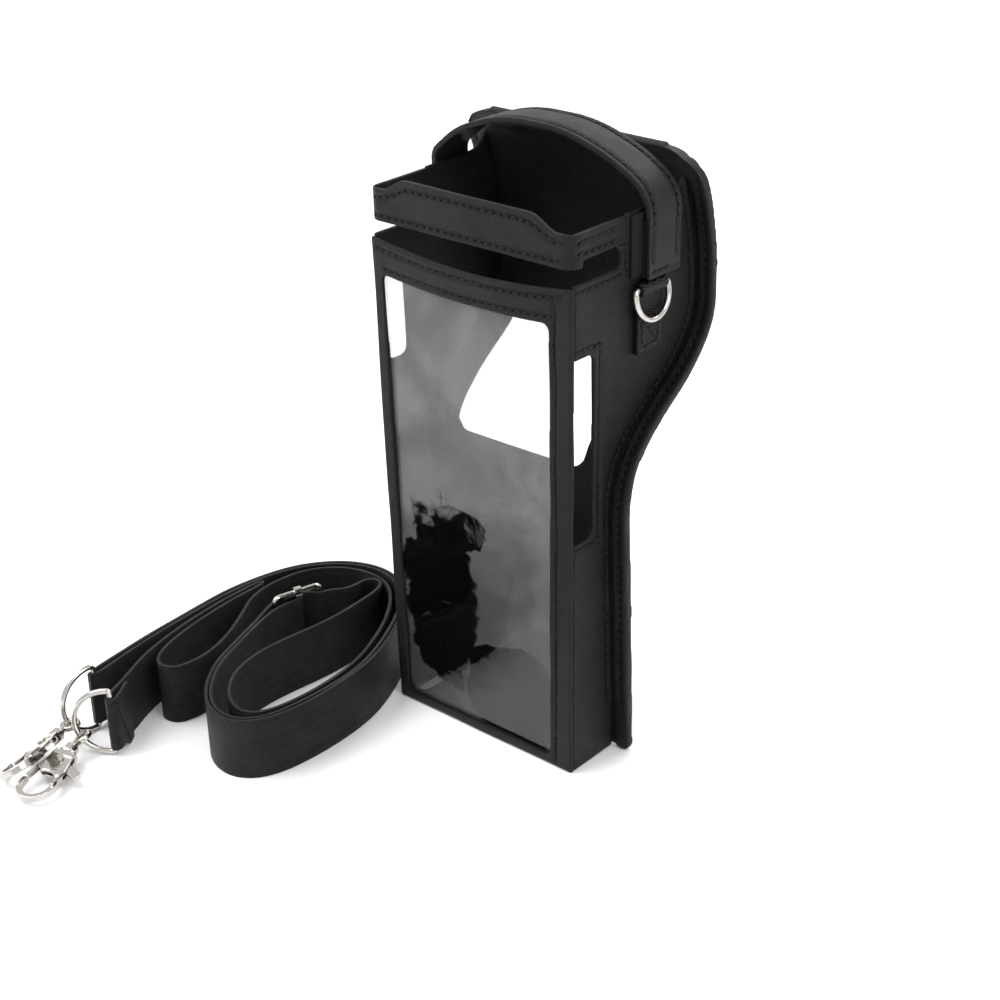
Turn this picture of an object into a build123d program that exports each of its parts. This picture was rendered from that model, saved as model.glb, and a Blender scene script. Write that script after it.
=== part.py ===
from build123d import *
from math import atan, atan2, cos, degrees, hypot, radians, sin, tan
import os

os.makedirs("parts", exist_ok=True)

# ---- driving dimensions, mm -------------------------------------------------------------------
# case shell
base_width = 88.0          # outer width at the floor
top_width = 93.2           # outer width at the top of the front panel
base_depth = 25.4          # front face to the inside of the back, at the floor
waist_depth = 21.0         # the same, where the back is nearest to the front
bulge_depth = 68.8         # the same, at the fullest part of the bulge
waist_height = 104.0
shelf_height = 120.0       # where the back turns out into the bulge
panel_height = 190.4       # top of the front panel
gap_height = 6.3           # paper gap above the front panel
collar_height = 11.9       # collar at its corners
collar_crown = 5.1         # how far the middle of the collar rises above its corners
back_rise = 15.9           # back panel above the collar
leather = 1.8              # front, sides, collar
back_thickness = 2.4
bottom_thickness = 2.0
film_thickness = 0.5
flange_width = 7.0         # back panel beyond the side walls
hem_width = 5.4
hem_thickness = 0.7
# openings
window_left = 5.2          # border widths round the clear front
window_right = 10.0
window_bottom = 4.0
window_top = 12.9
window_radius = 3.0
gap_depth = 26.4           # paper gap along each side
collar_arm = 29.0          # collar along each side
side_gap_height = 8.0
side_arm_height = 9.4
slot_reach = 12.4          # side slot, back from the front face
slot_bottom = 95.0
slot_height = 69.5
left_slot_start = 4.5
left_slot_bottom = 142.0
left_slot_height = 36.0
back_hole_width = 62.0
back_hole_bottom = 112.0
back_hole_height = 40.0
foot_slot_side = 0.8       # from the inside of the left wall
foot_slot_front = 6.5      # from the front face
foot_slot_width = 5.0
foot_slot_depth = 14.0
# carrying strap
handle_width = 18.0
handle_thickness = 2.2
handle_front = 35.6        # front edge, back from the front face
handle_crown = 22.0        # top of the arch above the collar
leg_length = 24.0
patch_thickness = 1.2
patch_width = 17.0
patch_gap = 0.1
# ring tabs and rings
ring_wire = 1.1            # radius of all bent wire
wire_fit = 0.09
tab_width = 14.0
tab_front = 33.0
tab_length = 24.0
tab_layer = 1.2
ring_half = 9.0
ring_arm = 3.0
ring_lean = 7.0            # degrees the rings lean away from the tabs
# shoulder strap and its fittings
web_width = 25.0
web_thickness = 1.3
web_gap = 0.5              # between two layers that run together
strap_ring_arm = 1.6
ring_room = 0.9            # the ring's middle line beyond each edge of the webbing
rail_clear = 0.2
slider_half = 10.5
bar_wire = 1.2
# clasps
eye_radius = 4.1
eye_hole = 2.0
eye_thickness = 2.2
slide_grip = 1.0           # wall of the slide bar's ends round the rails
post_radius = 1.25
post_fit = 0.06
plate_half = 2.2
loop_half = 1.3
pin_radius = 1.0
gate_thickness = 1.5
gate_fit = 0.06

# ---- derived places ---------------------------------------------------------------------------
front_y = -base_depth / 2
half_base = base_width / 2
slope = (top_width - base_width) / 2 / panel_height
lean = degrees(atan(slope))
collar_bottom = panel_height + gap_height
collar_top = collar_bottom + collar_height
back_top = collar_top + back_rise
side_gap_top = collar_top - side_arm_height
side_gap_bottom = side_gap_top - side_gap_height
tall = back_top + 40
wide = base_width + 60


def wall_x(height):
    """Outer face of the side wall at a height."""
    return half_base + slope * height


def round_radii(points):
    """Radii that join the runs of a route with tangent arcs."""
    radii = []
    for before, corner, after in zip(points, points[1:], points[2:]):
        run_in = (corner[0] - before[0], corner[1] - before[1])
        run_out = (after[0] - corner[0], after[1] - corner[1])
        cross = run_in[0] * run_out[1] - run_in[1] * run_out[0]
        dot = run_in[0] * run_out[0] + run_in[1] * run_out[1]
        half_turn = abs(atan2(cross, dot)) / 2
        radii.append(0.45 * min(hypot(*run_in), hypot(*run_out)) / tan(half_turn))
    return radii


def beside(points, distance):
    """The route's corners moved to its left, with the turn at each one."""
    moved = []
    turns = []
    for before, corner, after in zip(points, points[1:], points[2:]):
        heading_in = atan2(corner[1] - before[1], corner[0] - before[0])
        heading_out = atan2(after[1] - corner[1], after[0] - corner[0])
        turn = atan2(sin(heading_out - heading_in), cos(heading_out - heading_in))
        middle = heading_in + turn / 2
        reach = distance / cos(turn / 2)
        moved.append((corner[0] - reach * sin(middle), corner[1] + reach * cos(middle)))
        turns.append(turn)
    return moved, turns


# back curve: inner face of the back panel, as (depth from the front face, height)
curve = [
    (base_depth, 0),
    (waist_depth, waist_height),
    (waist_depth + 4.2, shelf_height),
    (waist_depth + 16.5, shelf_height + 13),
    (bulge_depth - 11.0, shelf_height + 27),
    (bulge_depth + 0.8, panel_height - 28),
    (bulge_depth - 0.2, panel_height - 4),
    (bulge_depth - 3.5, panel_height + 13),
    (bulge_depth - 7.2, panel_height + 24),
    (bulge_depth - 11.4, back_top),
]
curve_radii = round_radii(curve)
side_view = Plane(origin=(0, front_y, 0), x_dir=(0, 1, 0), z_dir=(1, 0, 0))
front_view = Plane(origin=(0, front_y, 0), x_dir=(1, 0, 0), z_dir=(0, -1, 0))
right_wall = Plane(
    origin=(half_base, front_y, 0),
    x_dir=(0, 1, 0),
    z_dir=(cos(radians(lean)), 0, -sin(radians(lean))),
)

# ---- case shell -------------------------------------------------------------------------------
with BuildPart() as front_frame:
    with BuildSketch(front_view):
        with BuildLine():
            Polyline(
                (-half_base, 0),
                (half_base, 0),
                (wall_x(panel_height), panel_height),
                (-wall_x(panel_height), panel_height),
                close=True,
            )
        make_face()
        with BuildLine():
            window_corners = [
                (-half_base + window_left, window_bottom),
                (half_base - window_right, window_bottom),
                (wall_x(panel_height) - window_right, panel_height - window_top),
                (-wall_x(panel_height) + window_left, panel_height - window_top),
            ]
            FilletPolyline(*window_corners, radius=window_radius, close=True)
        make_face(mode=Mode.SUBTRACT)
    extrude(amount=-leather)
    fillet(front_frame.faces().sort_by(Axis.Y)[0].outer_wire().edges(), radius=leather * 0.6)
front_frame.part.label = "front_frame"

with BuildPart() as clear_window:
    with BuildSketch(front_view.offset(-leather)):
        with BuildLine():
            Polyline(
                (-half_base + leather + 0.3, bottom_thickness + 0.1),
                (half_base - leather - 0.3, bottom_thickness + 0.1),
                (wall_x(panel_height) - leather - 0.4, panel_height - 2),
                (-wall_x(panel_height) + leather + 0.4, panel_height - 2),
                close=True,
            )
        make_face()
    extrude(amount=-film_thickness)
clear_window.part.label = "clear_window"

with BuildPart() as side_panel_right:
    with BuildSketch(right_wall):
        Rectangle(bulge_depth + 20, tall, align=(Align.MIN, Align.MIN))
    extrude(amount=-leather)
    with BuildSketch(side_view):
        with BuildLine():
            back_line = FilletPolyline(*curve, radius=curve_radii)
            Polyline(back_line @ 1, (leather, back_top), (leather, 0), back_line @ 0)
        make_face()
        with BuildLine():
            Polyline(
                (0, collar_top),
                (handle_front + handle_width + 1.5, collar_top + 0.8),
                (bulge_depth - 5, collar_top + 8),
                (bulge_depth + 10, collar_top + 8),
                (bulge_depth + 10, tall),
                (0, tall),
                close=True,
            )
        make_face(mode=Mode.SUBTRACT)
    extrude(amount=wide, mode=Mode.INTERSECT)
    with BuildSketch(side_view):
        with Locations((0, side_gap_top)):
            Rectangle(collar_arm, tall, align=(Align.MIN, Align.MIN))
    extrude(amount=wide, mode=Mode.SUBTRACT)
    with BuildSketch(side_view) as gap_cut:
        with Locations((gap_depth, side_gap_bottom)):
            Rectangle(60, side_gap_height, align=(Align.MAX, Align.MIN))
        fillet(gap_cut.vertices().group_by(Axis.Y)[-1], radius=side_gap_height * 0.42)
    extrude(amount=wide, mode=Mode.SUBTRACT)
with BuildPart() as side_panel_left:
    mirror(side_panel_right.part, about=Plane.YZ)
    with BuildSketch(side_view):
        with Locations((left_slot_start, left_slot_bottom)):
            RectangleRounded(
                slot_reach - left_slot_start + 2, left_slot_height, 3, align=(Align.MIN, Align.MIN)
            )
    extrude(amount=-wide, mode=Mode.SUBTRACT)
side_panel_left.part.label = "side_panel_left"
with BuildPart() as side_slotted_right:
    add(side_panel_right.part)
    with BuildSketch(side_view):
        with Locations((slot_reach, slot_bottom)):
            RectangleRounded(60, slot_height, 3, align=(Align.MAX, Align.MIN))
    extrude(amount=wide, mode=Mode.SUBTRACT)
side_slotted_right.part.label = "side_panel_right"

with BuildPart() as back_panel:
    with BuildSketch(side_view):
        with BuildLine():
            FilletPolyline(*curve, radius=curve_radii)
            offset(amount=back_thickness, side=Side.RIGHT)
        make_face()
    extrude(amount=wide, both=True)
    with BuildSketch(front_view):
        with BuildLine():
            back_outline = [
                (-half_base - flange_width, 0),
                (half_base + flange_width, 0),
                (wall_x(back_top) + flange_width, back_top + 5),
                (-wall_x(back_top) - flange_width, back_top + 5),
            ]
            FilletPolyline(*back_outline, radius=[3, 3, 16, 16], close=True)
        make_face()
        with Locations((0, back_hole_bottom)):
            RectangleRounded(
                back_hole_width,
                back_hole_height,
                6,
                align=(Align.CENTER, Align.MIN),
                mode=Mode.SUBTRACT,
            )
    extrude(amount=wide, both=True, mode=Mode.INTERSECT)
back_panel.part.label = "back_panel"

with BuildPart() as bottom_panel:
    with BuildSketch(side_view):
        with BuildLine():
            base_line = FilletPolyline(*curve, radius=curve_radii)
            Polyline(base_line @ 1, (leather, back_top), (leather, 0), base_line @ 0)
        make_face()
    extrude(amount=half_base - leather, both=True)
    with BuildSketch(Plane.XY):
        Rectangle(wide, wide)
        with Locations((-half_base + leather + foot_slot_side, front_y + foot_slot_front)):
            RectangleRounded(
                foot_slot_width, foot_slot_depth, 1.5, align=(Align.MIN, Align.MIN), mode=Mode.SUBTRACT
            )
    extrude(amount=bottom_thickness, mode=Mode.INTERSECT)
bottom_panel.part.label = "bottom_panel"

collar_half = wall_x(collar_top - side_arm_height / 2)
with BuildPart() as collar_band:
    with BuildSketch(Plane.XY.offset(collar_bottom)) as collar_plan:
        with Locations((0, front_y)):
            Rectangle(2 * collar_half, collar_arm, align=(Align.CENTER, Align.MIN))
        fillet(collar_plan.vertices().group_by(Axis.Y)[0], radius=5)
        with Locations((0, front_y + leather)):
            Rectangle(
                2 * (collar_half - leather),
                collar_arm,
                align=(Align.CENTER, Align.MIN),
                mode=Mode.SUBTRACT,
            )
    extrude(amount=collar_height + collar_crown)
    with BuildSketch(front_view):
        with BuildLine():
            FilletPolyline(
                (-wide, collar_bottom),
                (wide, collar_bottom),
                (wide, collar_top),
                (collar_half - 8, collar_top),
                (collar_half - 17, collar_top + collar_crown),
                (-collar_half + 17, collar_top + collar_crown),
                (-collar_half + 8, collar_top),
                (-wide, collar_top),
                radius=[0.1, 0.1, 8, 8, 8, 8],
            )
            Line((-wide, collar_top), (-wide, collar_bottom))
        make_face()
    extrude(amount=wide, both=True, mode=Mode.INTERSECT)
    with BuildSketch(side_view):
        with Locations((collar_arm, side_gap_top)):
            Rectangle(collar_arm - 6, 40, align=(Align.MAX, Align.MAX))
    extrude(amount=wide, both=True, mode=Mode.SUBTRACT)
collar_band.part.label = "collar_band"

with BuildPart() as edge_binding:
    with BuildSketch(side_view):
        with BuildLine():
            FilletPolyline(*curve, radius=curve_radii)
            offset(amount=back_thickness, side=Side.RIGHT)
        make_face()
        offset(amount=hem_thickness, kind=Kind.INTERSECTION)
    extrude(amount=wide, both=True)
    with BuildSketch(front_view):
        with BuildLine():
            FilletPolyline(*back_outline, radius=[3, 3, 16, 16], close=True)
        make_face()
        offset(amount=hem_thickness)
        with Locations((0, -10)):
            Rectangle(wide * 2, 10, align=(Align.CENTER, Align.MIN), mode=Mode.SUBTRACT)
        with BuildLine():
            FilletPolyline(
                (-half_base - flange_width + hem_width, -10),
                (half_base + flange_width - hem_width, -10),
                (wall_x(back_top) + flange_width - hem_width, back_top - hem_width),
                (-wall_x(back_top) - flange_width + hem_width, back_top - hem_width),
                radius=[3, 3, 12, 12],
                close=True,
            )
        make_face(mode=Mode.SUBTRACT)
    extrude(amount=wide, both=True, mode=Mode.INTERSECT)
    add(back_panel.part, mode=Mode.SUBTRACT)
    add(side_slotted_right.part, mode=Mode.SUBTRACT)
    add(side_panel_left.part, mode=Mode.SUBTRACT)
edge_binding.part.label = "edge_binding"


# ---- carrying strap ---------------------------------------------------------------------------
leg_bottom = collar_top - leg_length
tab_top = leg_bottom - 3.0
handle_back = handle_front + handle_width
leg_out = 2 * patch_thickness + patch_gap + handle_thickness / 2
pivot = (-wall_x(collar_top) - handle_thickness / 2 - 0.1, collar_top - 1.5)

with BuildPart() as velcro_loop:
    with BuildSketch(right_wall):
        with Locations((handle_front - 5, leg_bottom + 1.5)):
            Rectangle(patch_width + 5, leg_length - 2, align=(Align.MIN, Align.MIN))
    extrude(amount=patch_thickness)
velcro_loop.part.label = "velcro_loop"

with BuildPart() as velcro_hook:
    with BuildSketch(right_wall.offset(patch_thickness + patch_gap)):
        with Locations((handle_front + 0.5, leg_bottom + 0.5)):
            Rectangle(patch_width, leg_length - 4, align=(Align.MIN, Align.MIN))
    extrude(amount=patch_thickness)
velcro_hook.part.label = "velcro_hook"

handle_plane = Plane(origin=(0, front_y + handle_front, 0), x_dir=(1, 0, 0), z_dir=(0, -1, 0))
leg_out = leg_out / cos(radians(lean))
handle_route = [
    (wall_x(leg_bottom) + leg_out, leg_bottom),
    (wall_x(collar_top + 5.5) + leg_out, collar_top + 5.5),
    (half_base - 8, collar_top + 14.5),
    (half_base * 0.32, collar_top + handle_crown),
    (-half_base * 0.32, collar_top + handle_crown),
    (-half_base + 8, collar_top + 14.5),
    (pivot[0], collar_top + 4.5),
    pivot,
]
with BuildPart() as handle_strap:
    with BuildSketch(Plane((handle_route[0][0], front_y + handle_front, leg_bottom), (1, 0, 0), (0, 0, 1))):
        Rectangle(handle_thickness, handle_width, align=(Align.CENTER, Align.MIN))
    with BuildLine(handle_plane) as handle_line:
        FilletPolyline(*handle_route, radius=round_radii(handle_route))
    sweep(path=handle_line.line)
    with BuildSketch(handle_plane.offset(-handle_width)):
        with Locations(pivot):
            Circle(handle_thickness / 2)
    extrude(amount=handle_width)
handle_strap.part.label = "handle_strap"

left_wall = Plane(
    origin=(-half_base, front_y, 0),
    x_dir=(0, -1, 0),
    z_dir=(-cos(radians(lean)), 0, -sin(radians(lean))),
)
with BuildPart() as handle_tail:
    with BuildSketch(left_wall):
        with Locations((-handle_back, leg_bottom)):
            Rectangle(
                handle_width,
                pivot[1] - handle_thickness / 2 - 0.4 - leg_bottom,
                align=(Align.MIN, Align.MIN),
            )
    extrude(amount=handle_thickness)
handle_tail.part.label = "handle_tail"

# ---- ring tabs and rings ----------------------------------------------------------------------
eye_out = 2 * tab_layer + wire_fit + ring_wire - tab_layer
tab_middle = tab_front + tab_width / 2
with BuildPart() as ring_tab_right:
    tab_plane = Plane(
        origin=(half_base, front_y + tab_front, 0),
        x_dir=(cos(radians(lean)), 0, -sin(radians(lean))),
        z_dir=(0, -1, 0),
    )
    with BuildSketch(tab_plane):
        with Locations((0, tab_top)):
            Rectangle(2 * tab_layer, tab_length, align=(Align.MIN, Align.MAX))
        with Locations((eye_out, tab_top)):
            Circle(tab_layer + wire_fit + ring_wire)
            Circle(wire_fit + ring_wire, mode=Mode.SUBTRACT)
    extrude(amount=-tab_width)
ring_tab_right.part.label = "ring_tab_right"
with BuildPart() as ring_tab_left:
    mirror(ring_tab_right.part, about=Plane.YZ)
ring_tab_left.part.label = "ring_tab_left"

ring_centre = tab_plane.from_local_coords((eye_out, tab_top, -tab_width / 2))
ring_plane = Plane(
    origin=ring_centre,
    x_dir=(0, 1, 0),
    z_dir=(cos(radians(lean + ring_lean)), 0, sin(radians(lean + ring_lean))),
)
with BuildPart() as d_ring_right:
    with BuildLine(ring_plane) as ring_line:
        FilletPolyline(
            (-ring_half, -ring_arm), (-ring_half, 0), (ring_half, 0), (ring_half, -ring_arm), radius=1.6
        )
        ThreePointArc((ring_half, -ring_arm), (0, -ring_arm - ring_half), (-ring_half, -ring_arm))
    with BuildSketch(Plane(origin=ring_line.wires()[0] @ 0, z_dir=ring_line.wires()[0] % 0)):
        Circle(ring_wire)
    sweep(path=ring_line.wires()[0])
d_ring_right.part.label = "d_ring_right"
with BuildPart() as d_ring_left:
    mirror(d_ring_right.part, about=Plane.YZ)
d_ring_left.part.label = "d_ring_left"

# ---- shoulder strap, from the case's front left corner ----------------------------------------
corner = (-half_base, front_y)
slider_place = (-56.5, -1.0)
slider_turn = 75.5
ring_a_place = (-54.0, -99.3)
ring_a_heading = 220.0
ring_b_place = (-74.0, -92.0)
ring_b_heading = 266.0
wrap = bar_wire + web_thickness / 2
fold_clear = 0.08


def at_slider(along, near):
    """A point beside the slider, along the strap and towards the front."""
    angle = radians(slider_turn)
    return (
        slider_place[0] + along * cos(angle) + near * sin(angle),
        slider_place[1] + along * sin(angle) - near * cos(angle),
    )


def around(place, arrive, side):
    """The two corners of the strap's fold round a bar, arriving on one side of it."""
    angle = radians(arrive)
    loop = wrap + fold_clear
    ahead = (loop * cos(angle), loop * sin(angle))
    across = (-loop * side * sin(angle), loop * side * cos(angle))
    return [
        (place[0] + across[0] + ahead[0], place[1] + across[1] + ahead[1]),
        (place[0] - across[0] + ahead[0], place[1] - across[1] + ahead[1]),
    ]


double_run = [
    at_slider(-14.5, 0.3),
    (-54.0, -25.0),
    (-48.5, -39.5),
    (-42.5, -56.5),
    (-32.0, -70.5),
    (-20.0, -79.5),
    (-7.0, -80.5),
    (2.5, -71.0),
    (5.2, -48.0),
    (3.2, -22.0),
    (-4.2, -2.0),
    (-16.0, 19.0),
    (-30.0, 33.5),
    (-46.0, 38.5),
    (-62.5, 34.0),
    (-76.5, 18.0),
    (-83.0, -6.0),
    (-81.5, -36.0),
    (-78.0, -68.0),
    ring_b_place,
]
spread = (web_thickness + web_gap) / 2
near_layer, turns = beside(double_run, spread)
far_layer, turns = beside(double_run, -spread)
double_radii = round_radii(double_run)
near_radii = [r - spread if t > 0 else r + spread for r, t in zip(double_radii, turns)]
far_radii = [r + spread if t > 0 else r - spread for r, t in zip(double_radii, turns)]
single_run = [
    at_slider(-10.5, -2.4),
    at_slider(-3.5, -3.7),
    at_slider(3.2, -3.7),
    at_slider(8.6, 2.2),
    at_slider(13.5, 2.2),
    (-45.2, 18.0),
    (-45.8, 30.0),
    (-36.2, 30.0),
    (-33.5, 10.0),
    (-33.0, -8.0),
    (-35.5, -27.0),
    (-36.0, -44.0),
    (-31.0, -59.0),
    (-20.5, -70.5),
    (-8.5, -74.5),
    (-1.0, -68.5),
    (1.6, -49.0),
    (-0.2, -25.0),
    (-8.0, -4.0),
    (-19.5, 15.5),
    (-32.5, 29.3),
    (-46.0, 33.6),
    (-61.0, 29.5),
    (-71.3, 17.5),
    (-74.0, 0.0),
    (-71.5, -13.0),
    (-63.0, -26.0),
    (-55.5, -40.0),
    (-51.3, -52.0),
    (-50.5, -62.0),
    (-52.5, -70.5),
    (-60.5, -72.0),
    (-67.0, -64.0),
    (-71.3, -50.0),
    (-74.3, -34.0),
    (-75.8, -18.0),
    (-76.4, -1.0),
    (-79.2, -1.0),
    (-78.7, -20.0),
    (-76.9, -40.0),
    (-73.3, -57.0),
    (-68.3, -73.0),
    (-61.5, -86.5),
]
fold_b = around(ring_b_place, 279.5, 1)
fold_a = around(ring_a_place, 293.2, -1)
sewn_end = [(-53.3, -96.0), (-59.1, -87.6)]
sewn_start = [at_slider(-5.0, -wrap), at_slider(wrap, -wrap), at_slider(wrap, wrap), at_slider(-10.5, 2.2)]
route = sewn_start + near_layer + fold_b + far_layer[::-1] + single_run + fold_a + sewn_end
route_radii = round_radii(route)
first = len(sewn_start)
second = first + len(near_layer) + len(fold_b)
for n in range(1, len(near_layer) - 1):
    route_radii[first + n - 1] = near_radii[n]
    route_radii[second + n - 1] = far_radii[::-1][n]
strap_origin = Plane(origin=(corner[0], corner[1], 0))
with BuildPart() as shoulder_strap:
    with BuildLine(strap_origin) as strap_line:
        FilletPolyline(*route, radius=route_radii)
    start = strap_line.line @ 0
    with BuildSketch(Plane(origin=start, x_dir=(0, 0, 1), z_dir=strap_line.line % 0)):
        Rectangle(web_width, web_thickness, align=(Align.MIN, Align.CENTER))
    sweep(path=strap_line.line)
    with Locations(strap_origin.from_local_coords((*ring_a_place, 0)),
                   strap_origin.from_local_coords((*ring_b_place, 0))):
        Cylinder(5, ring_wire + strap_ring_arm + 2 * rail_clear,
                 align=(Align.CENTER, Align.CENTER, Align.MIN), mode=Mode.SUBTRACT)
    with BuildSketch(strap_origin):
        with Locations(Location((*slider_place, 0), (0, 0, slider_turn))):
            Rectangle(2 * slider_half + 3, 2 * (ring_wire + slide_grip) + 0.6)
    extrude(amount=2 * (ring_wire + slide_grip) + rail_clear, mode=Mode.SUBTRACT)
shoulder_strap.part.label = "shoulder_strap"
print("strap length", round(strap_line.wires()[0].length, 1), "smallest radius", round(min(route_radii), 2))
print("strap radii", [round(r, 1) for r in route_radii])

# ---- slider -----------------------------------------------------------------------------------
slider_plane = Plane(
    origin=strap_origin.from_local_coords((*slider_place, 0)),
    x_dir=(cos(radians(slider_turn)), sin(radians(slider_turn)), 0),
    z_dir=(sin(radians(slider_turn)), -cos(radians(slider_turn)), 0),
)
rail_low = ring_wire + slide_grip + rail_clear / 2
rail_high = web_width + rail_clear + ring_wire + slide_grip
with BuildPart() as slider_frame:
    with BuildLine(slider_plane) as frame_line:
        FilletPolyline(
            (slider_half, rail_low),
            (slider_half, rail_high),
            (-slider_half, rail_high),
            (-slider_half, rail_low),
            radius=2.2,
            close=True,
        )
    frame_wire = frame_line.wires()[0]
    with BuildSketch(Plane(origin=frame_wire @ 0, z_dir=frame_wire % 0)):
        Circle(ring_wire)
    sweep(path=frame_wire)
slider_frame.part.label = "slider_frame"

across_plane = Plane(slider_plane.origin, x_dir=-slider_plane.z_dir, z_dir=slider_plane.x_dir)
with BuildPart() as slider_bar:
    with BuildSketch(Plane(slider_plane.origin, z_dir=(0, 0, 1)).offset(rail_low)):
        Circle(bar_wire)
    extrude(amount=rail_high - rail_low)
    with BuildSketch(across_plane):
        with Locations((0, rail_low), (0, rail_high)):
            Circle(ring_wire + slide_grip)
    extrude(amount=1.6, both=True)
    with BuildSketch(across_plane):
        with Locations((0, rail_low), (0, rail_high)):
            Circle(ring_wire)
    extrude(amount=4, both=True, mode=Mode.SUBTRACT)
slider_bar.part.label = "slider_bar"

# ---- rings and clasps at the strap's ends -----------------------------------------------------
strap_ring_half = web_width / 2 + ring_room
ring_middle = ring_wire + strap_ring_half


def ring_frame(place, heading):
    """Plane of a strap ring: x away from its bar, y up."""
    angle = radians(heading)
    return Plane(
        origin=strap_origin.from_local_coords((*place, ring_middle)),
        x_dir=(cos(angle), sin(angle), 0),
        z_dir=(sin(angle), -cos(angle), 0),
    )


ring_a_plane = ring_frame(ring_a_place, ring_a_heading)
ring_b_plane = ring_frame(ring_b_place, ring_b_heading)


with BuildPart() as ring_pattern:
    with BuildLine(Plane.XY) as pattern_line:
        FilletPolyline(
            (strap_ring_arm, -strap_ring_half),
            (0, -strap_ring_half),
            (0, strap_ring_half),
            (strap_ring_arm, strap_ring_half),
            radius=strap_ring_arm * 0.92,
        )
        ThreePointArc(
            (strap_ring_arm, strap_ring_half),
            (strap_ring_arm + strap_ring_half, 0),
            (strap_ring_arm, -strap_ring_half),
        )
    pattern_wire = pattern_line.wires()[0]
    with BuildSketch(Plane(origin=pattern_wire @ 0.5, z_dir=pattern_wire % 0.5)):
        Circle(ring_wire)
    sweep(path=pattern_wire)
with BuildPart() as strap_ring_a:
    add(ring_pattern.part.moved(ring_a_plane.location))
strap_ring_a.part.label = "strap_ring_a"
with BuildPart() as strap_ring_b:
    add(ring_pattern.part.moved(ring_b_plane.location))
strap_ring_b.part.label = "strap_ring_b"

# clasp places: hole of the swivel eye on the ring's wire, and the way the clasp points
clasp_drop = 33.0          # degrees below the ring's apex
clasp_a_heading = 287.5
clasp_a_dip = -6.5
clasp_b_heading = 281.0
clasp_b_dip = -3.0
clasp_b_roll = 32.0


def on_ring(ring_plane_here):
    """Point on the ring's wire, and the wire's heading there."""
    reach = strap_ring_half * cos(radians(clasp_drop))
    point = ring_plane_here.from_local_coords((strap_ring_arm + reach, -strap_ring_half * sin(radians(clasp_drop)), 0))
    tangent = ring_plane_here.x_dir * sin(radians(clasp_drop)) + ring_plane_here.y_dir * cos(radians(clasp_drop))
    return point, tangent


def clasp_frames(ring_plane_here, heading, dip, roll):
    """Frames of a swivel eye and of the hook body beyond it, x along the clasp."""
    point, tangent = on_ring(ring_plane_here)
    level = cos(radians(dip))
    ahead = Vector(level * cos(radians(heading)), level * sin(radians(heading)), sin(radians(dip)))
    hole = (tangent - ahead * tangent.dot(ahead)).normalized()
    eye = Plane(origin=point, x_dir=ahead, z_dir=hole)
    up = (Vector(0, 0, 1) - ahead * ahead.Z).normalized()
    side = up.cross(ahead)
    body = Plane(origin=point, x_dir=ahead, z_dir=up * cos(radians(roll)) - side * sin(radians(roll)))
    return eye, body


eye_a_plane, body_a_plane = clasp_frames(ring_a_plane, clasp_a_heading, clasp_a_dip, 0)
eye_b_plane, body_b_plane = clasp_frames(ring_b_plane, clasp_b_heading, clasp_b_dip, clasp_b_roll)

post_start = eye_radius - 1.0
collar_start = eye_radius + 2.0
body_start = collar_start + 3.0
head_start = body_start + 1.2
along_x = Plane(origin=(0, 0, 0), x_dir=(0, 1, 0), z_dir=(1, 0, 0))

with BuildPart() as eye_pattern:
    with BuildSketch(Plane.XY):
        Circle(eye_radius)
    extrude(amount=eye_thickness / 2, both=True)
    fillet(eye_pattern.edges(), radius=0.7)
    with BuildSketch(Plane.XY):
        Circle(eye_hole)
    extrude(amount=5, both=True, mode=Mode.SUBTRACT)
    fillet(eye_pattern.faces().filter_by(GeomType.CYLINDER).sort_by(SortBy.AREA)[-1].edges()
           .filter_by(GeomType.CIRCLE).filter_by(lambda e: abs(e.radius - eye_hole) < 0.01), radius=0.4)
    with BuildSketch(along_x.offset(post_start)):
        Circle(post_radius)
    extrude(amount=head_start - post_start)
    with BuildSketch(along_x.offset(head_start)):
        Circle(post_radius + 0.45)
    extrude(amount=0.9)

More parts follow.
